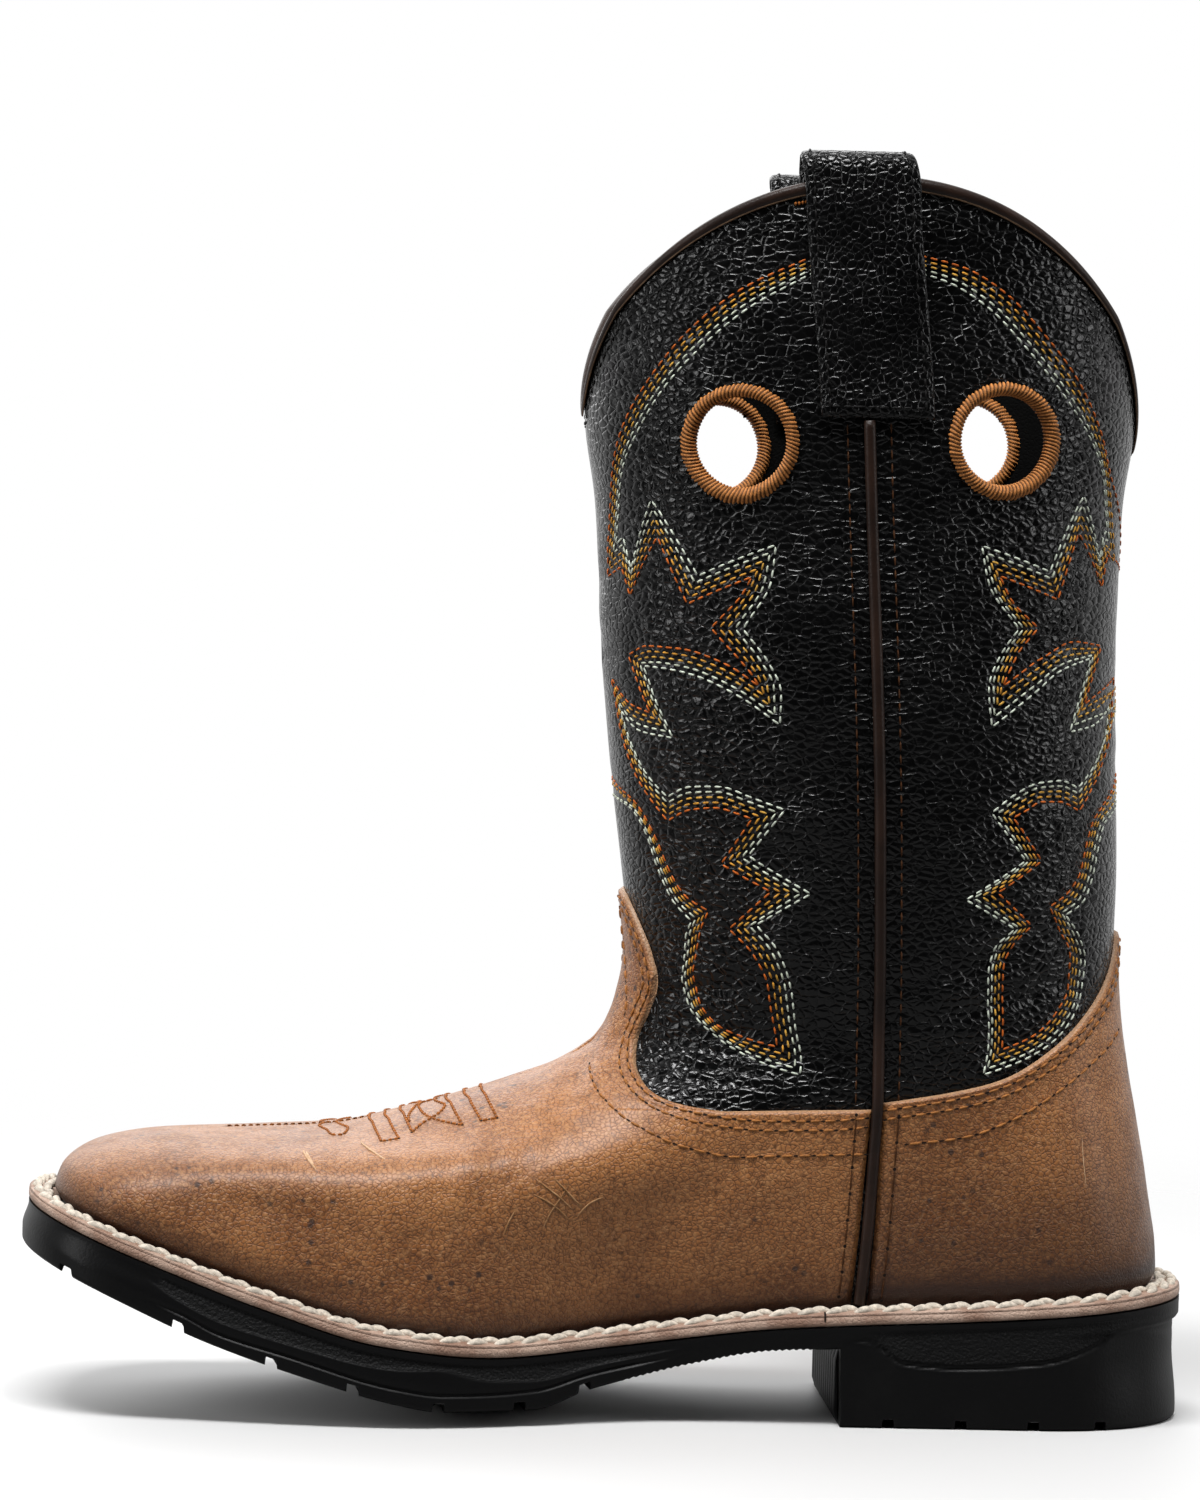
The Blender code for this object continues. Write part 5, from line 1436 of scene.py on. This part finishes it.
def prick(name, lines, pitch, length, width, slot, lift):
    """Needle holes as painted shade: at every end of a stitch a dark patch with a few corners, an ellipse
    along the line.
    """
    corners = 8
    angle = np.linspace(0, 2 * math.pi, corners, endpoint=False)[None, :, None]
    blocks = []
    for points, normals in lines:
        run, count = divide(points, pitch)
        at = np.arange(count + 1) * run[-1] / count
        place, normal = along_line(points, run, at), along_line(normals, run, at)
        ahead = unit(np.gradient(place, axis=0) if count > 1 else np.diff(place, axis=0).repeat(2, 0))
        across = np.cross(normal, ahead)
        rim = ahead[:, None] * np.cos(angle) * length / 2 + across[:, None] * np.sin(angle) * width / 2
        blocks.append((place + normal * lift)[:, None] + rim)
    holes = np.concatenate(blocks)
    put_piece(name, holes, many_faces(np.arange(corners)[None], len(holes), corners), NEEDLE_HOLE, slot)


def on_shaft(runs):
    """Points and normals of runs on the shaft, on both sides of the boot, sunk as the leather is."""
    lines = []
    for theta, level in runs:
        for side in (1, -1):
            points, normals = last_surface(side * theta, level), outward(side * theta, level)
            sink = crease_relief(points) - thread_pull(points)
            lines.append((points + normals * sink[:, None], normals))
    return lines


FLAME_PITCH, FLAME_WIDTH = 2.9, 0.54
ROW_THREADS = (
    ("white_outer", (0.72, 0.78, 0.66)), ("white_inner", (0.70, 0.75, 0.60)), ("gold", (0.72, 0.40, 0.07)),
    ("amber", (0.70, 0.33, 0.045)), ("orange", (0.62, 0.14, 0.018)),
)
for k, (label, colour) in enumerate(ROW_THREADS):
    row_lines = on_shaft([run for chart in FLAMES for run in chart[k]])
    row_thread = thread(f"{label.replace('_', ' ')} thread", colour)
    sew(f"flame_{label}", row_lines, FLAME_PITCH, FLAME_WIDTH, row_thread, "brown_thread")

# %% [markdown]
# ## Rows along the edges
#
# Two rows of brown thread hold the cut edges of vamp and counter, with a third further in, and at every
# stitch the holes that the needle left are painted as dark patches of shade. The rows could be charted one
# by one, but they keep their distance from the edge, so the cut line is moved inside its sheet; only the
# third row is charted.

# %% Edge rows on vamp and counter
EDGE_PITCH, THIRD_PITCH, EDGE_WIDTH, EDGE_FILL = 3.9, 4.6, 0.7, 0.8
NEEDLE_LENGTH, NEEDLE_WIDTH, NEEDLE_LIFT = 1.35, 0.5, 0.1
SEAM_CLEAR, TIP_CLEAR, TIP_SHARE = 0.006, 1.2, 1.3          # what a row keeps free at piping and tip
BROWN_THREAD = thread("brown thread", (0.40, 0.160, 0.043))
THIRD_VAMP = ((592, 1068), (597, 1092), (612, 1110), (640, 1130), (690, 1148), (750, 1156), (865, 1153))
THIRD_COUNTER = ((905, 1143), (960, 1137), (1010, 1120), (1050, 1096), (1085, 1066), (1112, 1030))
TONGUE_ROW = ((626, 905), (629, 930), (632, 985), (630, 1015))


def over_leather(theta, level, lift):
    """A line on both sides of the boot, lifted off the last and creased as the leather is."""
    lines = []
    for side in (1, -1):
        points, normals = last_surface(side * theta, level), outward(side * theta, level)
        lines.append((points + normals * (lift + crease_relief(points))[:, None], normals))
    return lines


def edge_row(line, inside, count=160):
    """A cut line moved inside its sheet. The shift is turned into steps of theta and level by solving
    for them in the surface's own two directions; what would cross the middle or the seam is left off."""
    theta, level = cut_line(line, count)
    by_theta = (last_surface(theta + STEP, level) - last_surface(theta - STEP, level)) / (2 * STEP)
    by_level = (last_surface(theta, level + STEP) - last_surface(theta, level - STEP)) / (2 * STEP)
    points, normals = last_surface(theta, level), outward(theta, level)
    across = unit(np.cross(np.gradient(points, axis=0), normals))
    across = across * np.copysign(inside, -across[:, 2:].mean())
    pairs = np.stack([by_theta, by_level], -1)
    squares = np.einsum("nki,nkj->nij", pairs, pairs)
    steps = np.linalg.solve(squares, np.einsum("nki,nk->ni", pairs, across)[..., None])[..., 0]
    theta, level = theta + steps[:, 0], level + steps[:, 1]
    clear = (theta > 0) & (theta < math.pi) & (np.abs(theta - seam_theta(level)) > SEAM_GAP + SEAM_CLEAR)
    clear &= last_surface(theta, level)[:, 2] < points[:, 2].max() - TIP_CLEAR - TIP_SHARE * inside
    return over_leather(theta[clear], level[clear], OVERLAY_FIT + OVERLAY - STITCH_TROUGH / 3)


def charted_line(pixels, lift=OVERLAY_FIT + OVERLAY, straight=False):
    """A charted line on both sides of the boot: one smooth run, or straight runs from point to point."""
    pixels = np.array(pixels, float)
    parts = 6 if straight else 1
    knots = np.linspace(0, len(pixels) - 1, parts * (len(pixels) - 1) + 1)
    corners = np.isclose(knots % 1, 0) if straight else np.isin(knots, knots[[0, -1]])
    runs = charted_run(along_line(pixels, np.arange(len(pixels)), knots), corners)
    return [row for theta, level in runs for row in over_leather(theta, level, lift)]


edge_lines = [row for line in (VAMP_LINE, COUNTER_LINE)
              for inside in EDGE_STITCH for row in edge_row(line, inside)]
third_lines = [row for pixels in (THIRD_VAMP, THIRD_COUNTER, TONGUE_ROW) for row in charted_line(pixels)]
sew("edge_stitches", edge_lines, EDGE_PITCH, EDGE_WIDTH, BROWN_THREAD, "brown_thread", fill=EDGE_FILL)
sew("third_row_stitches", third_lines, THIRD_PITCH, EDGE_WIDTH, BROWN_THREAD, "brown_thread", fill=EDGE_FILL)
needle = (NEEDLE_LENGTH, NEEDLE_WIDTH, "brown_thread", NEEDLE_LIFT)
prick("edge_needle_holes", edge_lines, EDGE_PITCH, *needle)
prick("third_row_needle_holes", third_lines, THIRD_PITCH, *needle)

# %% [markdown]
# ## Rows at the seams, collar and straps
#
# Dark thread runs down both sides of each side seam, and black thread holds the binding and the straps.
# They barely show, yet without them the straps look glued on. Each row follows a line that is already
# known: the seam moved sideways, the collar, or the strap's own surface.

# %% Seam rows, collar row and strap rows
SEAM_ROW, VAMP_TOP, VAMP_CLEAR = 5.6, 84.0, 2.0
SEAM_PITCH, SEAM_WIDTH = 3.4, 0.45
LOW_SEAM_PITCH, LOW_SEAM_WIDTH, LOW_SEAM_FILL = 6.6, 0.5, 0.92
LOW_SEAM_NEEDLE = (1.0, 0.9, "brown_thread", 0.12)
COLLAR_PITCH, COLLAR_WIDTH, COLLAR_DROP, STRAP_STITCH, STRAP_MARGIN = 3.0, 0.5, 0.2, 0.6, 2.4
STRAP_SEWN, STRAP_FOOT_ROW = slice(2, 95), 3                # rows of the strap's path that show stitches
BLACK_THREAD = thread("black thread", (0.006, 0.0055, 0.0055))
DARK_THREAD = thread("dark brown thread", (0.085, 0.032, 0.011))


def seam_rows(lowest, highest, lift):
    """Rows on both sides of each piping between two heights, moved along the leather."""
    level = np.linspace(1.2, 18, 420)
    lines = []
    for side in (1, -1):
        theta = side * seam_theta(level)
        points, normals = last_surface(theta, level), outward(theta, level)
        across = unit(np.cross(normals, np.gradient(points, axis=0)))
        part = (points[:, 2] > lowest) & (points[:, 2] < highest)
        lines += [((points + across * s * SEAM_ROW + normals * lift)[part], normals[part]) for s in (1, -1)]
    return lines


def collar_row():
    """One row under the binding, all round."""
    theta = np.linspace(0, 2 * math.pi, 500)
    level = collar_level(theta) - COLLAR_DROP
    return [(last_surface(theta, level), outward(theta, level))]


def strap_rows(side):
    """Two rows along the strap's edges, on its outer leg and over the loop, and one across its foot."""
    reach = STRAP_WIDTH / 2 - STRAP_MARGIN
    across = np.linspace(-reach, reach, 30)[None]
    face, core = (strap_surface(side, across, np.full((1, 1), lift)) for lift in (STRAP_THICK, 0.0))
    normals = unit(face - core)
    edges = [(face[STRAP_SEWN, k], normals[STRAP_SEWN, k]) for k in (0, -1)]
    return edges + [(face[STRAP_FOOT_ROW], normals[STRAP_FOOT_ROW])]


high_rows = seam_rows(VAMP_TOP, PIPING_TOP, 0.0)
low_rows = seam_rows(0, VAMP_TOP - VAMP_CLEAR, OVERLAY_FIT + OVERLAY)
sew("seam_stitches", high_rows, SEAM_PITCH, SEAM_WIDTH, DARK_THREAD, "brown_thread")
sew("low_seam_stitches", low_rows, LOW_SEAM_PITCH, LOW_SEAM_WIDTH, DARK_THREAD, "brown_thread",
    fill=LOW_SEAM_FILL)
prick("low_seam_needle_holes", low_rows, LOW_SEAM_PITCH, *LOW_SEAM_NEEDLE)
sew("collar_stitches", collar_row(), COLLAR_PITCH, COLLAR_WIDTH, BLACK_THREAD, "black_leather")
sew("strap_stitches", strap_rows(1) + strap_rows(-1), COLLAR_PITCH, STRAP_STITCH, BLACK_THREAD,
    "strap_leather")

# %% [markdown]
# ## Toe stitching, bar tacks and scratches
#
# The toe has a small pattern of bars and loops in orange-brown thread, and a short bar tack lies beside
# each strap. Deep scratches show the pale core of the leather. All are charted as pixels: bars as straight
# runs, loops as smooth ones, and a scratch is sewn as a single long stitch that barely stands out.

# %% Toe stitching, bar tacks and scratches
TOE_PITCH, TOE_WIDTH, TOE_FILL = 1.8, 0.8, 0.92
TOE_NEEDLE_PITCH, TOE_NEEDLE = 1.7, (0.6, 0.8, "brown_thread", 0.09)
TACK_PITCH, TACK_WIDTH = 1.0, 1.0
SCRATCH_PITCH, SCRATCH_BLUNT = 60.0, 2.0    # a pitch longer than any scratch makes each a single stitch
SCRATCH_WIDTH, FINE_WIDTH, COUNTER_WIDTH = 0.75, 0.46, 0.3
TOE_BARS = (
    ((228, 1127), (300, 1122), (367, 1118)),
    ((369, 1117), (382, 1150), (400, 1147), (384, 1113)),
    ((400, 1109), (413, 1138)),
    ((445, 1096), (464, 1132)),
    ((463, 1090), (483, 1128), (499, 1125), (480, 1087)),
)
TOE_LOOPS = (
    ((319, 1132), (326, 1126), (336, 1126), (347, 1133), (342, 1142), (332, 1142), (326, 1136), (319, 1132)),
    ((413, 1140), (424, 1130), (440, 1120), (445, 1110), (436, 1103), (424, 1106), (422, 1116), (432, 1124),
     (448, 1129), (464, 1132)),
    ((411, 1128), (414, 1116), (424, 1106), (440, 1098)),
)
BAR_TACK = ((794, 204), (812, 201))
DEEP_SCRATCHES = (((303, 1157), (322, 1187)), ((306, 1160), (316, 1180)), ((360, 1145), (397, 1178)))
COUNTER_SCRATCH = ((1078, 1130), (1080, 1165), (1084, 1195))
FINE_SCRATCHES = (
    ((527, 1191), (552, 1204), (572, 1222)), ((529, 1176), (559, 1197), (576, 1211)),
    ((548, 1174), (566, 1191), (586, 1209)), ((572, 1177), (557, 1199), (539, 1234)),
    ((607, 1193), (588, 1201), (572, 1219)), ((516, 1207), (507, 1221), (501, 1239)),
)
ORANGE_THREAD = thread("toe thread", (0.40, 0.13, 0.024))
SCRATCHED_LEATHER = plain_leather(
    "scratched leather", (0.60, 0.40, 0.25), (0.48, 0.29, 0.16), 500.0, 0.6, 0.00005)
RUBBED_LEATHER = plain_leather(
    "rubbed leather", (0.44, 0.25, 0.12), (0.26, 0.13, 0.05), 500.0, 0.6, 0.00005)


def scratch(name, charts, width, material, rings):
    """Scratches on the inner side, each sewn as one long stitch with pointed ends."""
    lines = [charted_line(pixels)[0] for pixels in charts]
    sew(name, lines, SCRATCH_PITCH, width, material, "brown_leather",
        fill=1.0, blunt=SCRATCH_BLUNT, rings=rings)


toe_lines = [row for pixels in TOE_BARS for row in charted_line(pixels, straight=True)]
toe_lines += [row for pixels in TOE_LOOPS for row in charted_line(pixels)]
sew("toe_stitches", toe_lines, TOE_PITCH, TOE_WIDTH, ORANGE_THREAD, "brown_thread", fill=TOE_FILL)
prick("toe_needle_holes", toe_lines, TOE_NEEDLE_PITCH, *TOE_NEEDLE)
sew("bar_tacks", charted_line(BAR_TACK, 0.0), TACK_PITCH, TACK_WIDTH, ORANGE_THREAD, "brown_thread", fill=1.0)
scratch("vamp_scratches", DEEP_SCRATCHES, SCRATCH_WIDTH, SCRATCHED_LEATHER, 5)
scratch("counter_scratch", (COUNTER_SCRATCH,), COUNTER_WIDTH, SCRATCHED_LEATHER, 5)
scratch("vamp_fine_scratches", FINE_SCRATCHES, FINE_WIDTH, RUBBED_LEATHER, 11)

# %% [markdown]
# ## Welt stitches
#
# Two rows of thick cream thread lie on the welt, their stitches leaning towards each other like leaves on
# a twig. They are the same stitch as before, fatter and set askew. The welt is one strip, so its two ends
# meet in a joint, drawn as a thin dark line down its edge.

# %% Welt stitches and joint
WELT_ROWS = ((6.1, 4.05, 0.7), (3.5, 4.1, -0.7))     # offset from the last, height, and slant of each row
WELT_PITCH, WELT_THREAD, WELT_LEAN = 7.4, 2.4, 0.35
WELT_STITCH = {"fill": 1.02, "blunt": 2.0, "plump": 0.45, "rings": 11, "around": 10}
JOINT_X, JOINT_PITCH, JOINT_WIDTH, JOINT_FACE = 55.0, 40.0, 0.5, (0, -4, 3)
JOINT_LINE = ((5.0, 4.0), (7.4, 4.0), (8.0, 3.5), (8.2, 2.6), (8.22, 1.6), (8.2, 0.7))  # offset and height
CREAM_THREAD = thread("cream welt thread", (0.70, 0.62, 0.52))


def welt_row(offset, height):
    """A row round the welt, its normals leaning out to face a level view."""
    theta = np.linspace(0, 2 * math.pi, 900)
    points = welt_surface(theta, np.full(theta.shape, offset), height)
    inner = welt_surface(theta, np.full(theta.shape, offset - 1.0), height)
    return [(points, unit(WELT_LEAN * (points - inner) + (0, 0, 1)))]


def welt_joint():
    """A line across the welt's top and down its side, at one place on the inner side."""
    offset, height = np.array(JOINT_LINE).T
    points = welt_surface(np.full(offset.shape, float(theta_at(JOINT_X, 0.0))), offset, height)
    return [(points, unit(points - points[:1] + JOINT_FACE))]


for k, (offset, height, slant) in enumerate(WELT_ROWS):
    sew(f"welt_stitches_{k}", welt_row(offset, height), WELT_PITCH, WELT_THREAD, CREAM_THREAD, "welt_leather",
        slant=slant, **WELT_STITCH)
sew("welt_joint", welt_joint(), JOINT_PITCH, JOINT_WIDTH, NEEDLE_HOLE, "welt_leather", fill=1.0, blunt=8.0)

# %% [markdown]
# ## Floor, light and hand over
#
# The photo has a white ground, a soft shadow and long highlights from softboxes. The floor fades into the
# white with distance. Light on the dark leather comes from four area lamps and a world that is bright only
# behind the boot, because an even white world would wash the leather out. Last, each piece is tied to the
# part's body, and the solids that it stands for are hidden.

# %% Floor
FLOOR_SIZE, FLOOR_FADE = 3000.0, (0.30, 0.75)               # half the side in mm, fade in metres
FLOOR_LIT, FLOOR_SEEN = (0.20, 0.20, 0.20), (0.62, 0.62, 0.62)


def make_floor():
    """A square under the boot that turns see-through with distance. It is paler to the camera than to the
    light that it throws back on the boot."""
    corners = ((-1, -1, 0), (1, -1, 0), (1, 1, 0), (-1, 1, 0))
    grid = FLOOR_SIZE * np.array(corners)
    material, tree, shader, place = new_material("pale floor", (0.88, 0.88, 0.88), 0.6)
    seen = add_node(tree, "LightPath").outputs["Is Camera Ray"]
    tree.links.new(mix_colour(tree, seen, FLOOR_LIT, FLOOR_SEEN), shader.inputs["Base Color"])
    distance = add_node(tree, "VectorMath", {0: place}, operation="LENGTH").outputs["Value"]
    tree.links.new(remap(tree, distance, *FLOOR_FADE, 1.0, 0.0), shader.inputs["Alpha"])
    mesh = bpy.data.meshes.new("floor")
    mesh.from_pydata((grid * MM).tolist(), [], [(0, 1, 2, 3)])
    mesh.materials.append(material)
    floor = bpy.data.objects.new("floor", mesh)
    bpy.context.scene.collection.objects.link(floor)
    print(f"floor: {2 * FLOOR_SIZE:.0f} mm square")


make_floor()

# %% Lights
LIGHT = ("name", "place", "aim", "width", "height", "power")
LIGHTS = (
    ("left softbox", (-1250, -600, 600), (0, 0, 150), 300, 1000, 7),
    ("right softbox", (1250, -350, 600), (40, 0, 150), 300, 1000, 5),
    ("top softbox", (-150, -500, 1450), (0, 0, 100), 900, 300, 30),
    ("back softbox", (-300, 1000, 800), (-80, 0, 60), 1200, 900, 7),
)


def make_lights():
    """Area lamps whose axes run from the aim to the place; the second axis is the cross product of the
    first and the side, which keeps every lamp upright."""
    for row in LIGHTS:
        light = dict(zip(LIGHT, row))
        data = bpy.data.lights.new(light["name"], "AREA")
        data.shape = "RECTANGLE"
        data.size, data.size_y = light["width"] * MM, light["height"] * MM
        data.energy = light["power"]
        lamp = bpy.data.objects.new(light["name"], data)
        place, aim = np.array(light["place"], float), np.array(light["aim"], float)
        away = unit(place - aim)
        side = unit(np.cross((0, 0, 1), away))
        turn = Matrix(np.stack([side, np.cross(away, side), away], 1).tolist()).to_4x4()
        lamp.matrix_world = Matrix.Translation((place * MM).tolist()) @ turn
        bpy.context.scene.collection.objects.link(lamp)


make_lights()
print("lights:", ", ".join(row[0] for row in LIGHTS))

# %% World
WORLD_DEPTH, WORLD_LIGHT = (-0.2, 0.6), (0.02, 0.9)         # strength from before the boot to behind it


def make_world():
    """White to the camera; to the boot, a light that grows from front to back."""
    world = bpy.data.worlds.new("studio")
    world.use_nodes = True
    tree = world.node_tree
    shown = tree.nodes["Background"]
    shown.inputs["Color"].default_value = (1, 1, 1, 1)
    shown.inputs["Strength"].default_value = 1.0
    depth = add_node(tree, "SeparateXYZ", {0: add_node(tree, "TexCoord").outputs["Object"]}).outputs["Y"]
    strength = remap(tree, depth, *WORLD_DEPTH, *WORLD_LIGHT)
    lit = add_node(tree, "Background", {"Color": (1, 1, 1, 1), "Strength": strength})
    path = add_node(tree, "LightPath").outputs["Is Camera Ray"]
    mixed = add_node(tree, "MixShader", {0: path, 1: lit.outputs[0], 2: shown.outputs[0]})
    tree.links.new(mixed.outputs[0], tree.nodes["World Output"].inputs["Surface"])
    bpy.context.scene.world = world


make_world()
bpy.context.scene.view_settings.view_transform = "Standard"
print("world:", bpy.context.scene.world.name)

# %% Hand over
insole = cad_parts["insole"]
insole.data.materials.clear()
insole.data.materials.append(INSOLE_LEATHER)
for piece, slot, nodes in PIECES:
    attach(piece, "root")
    if nodes:
        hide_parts(*nodes)
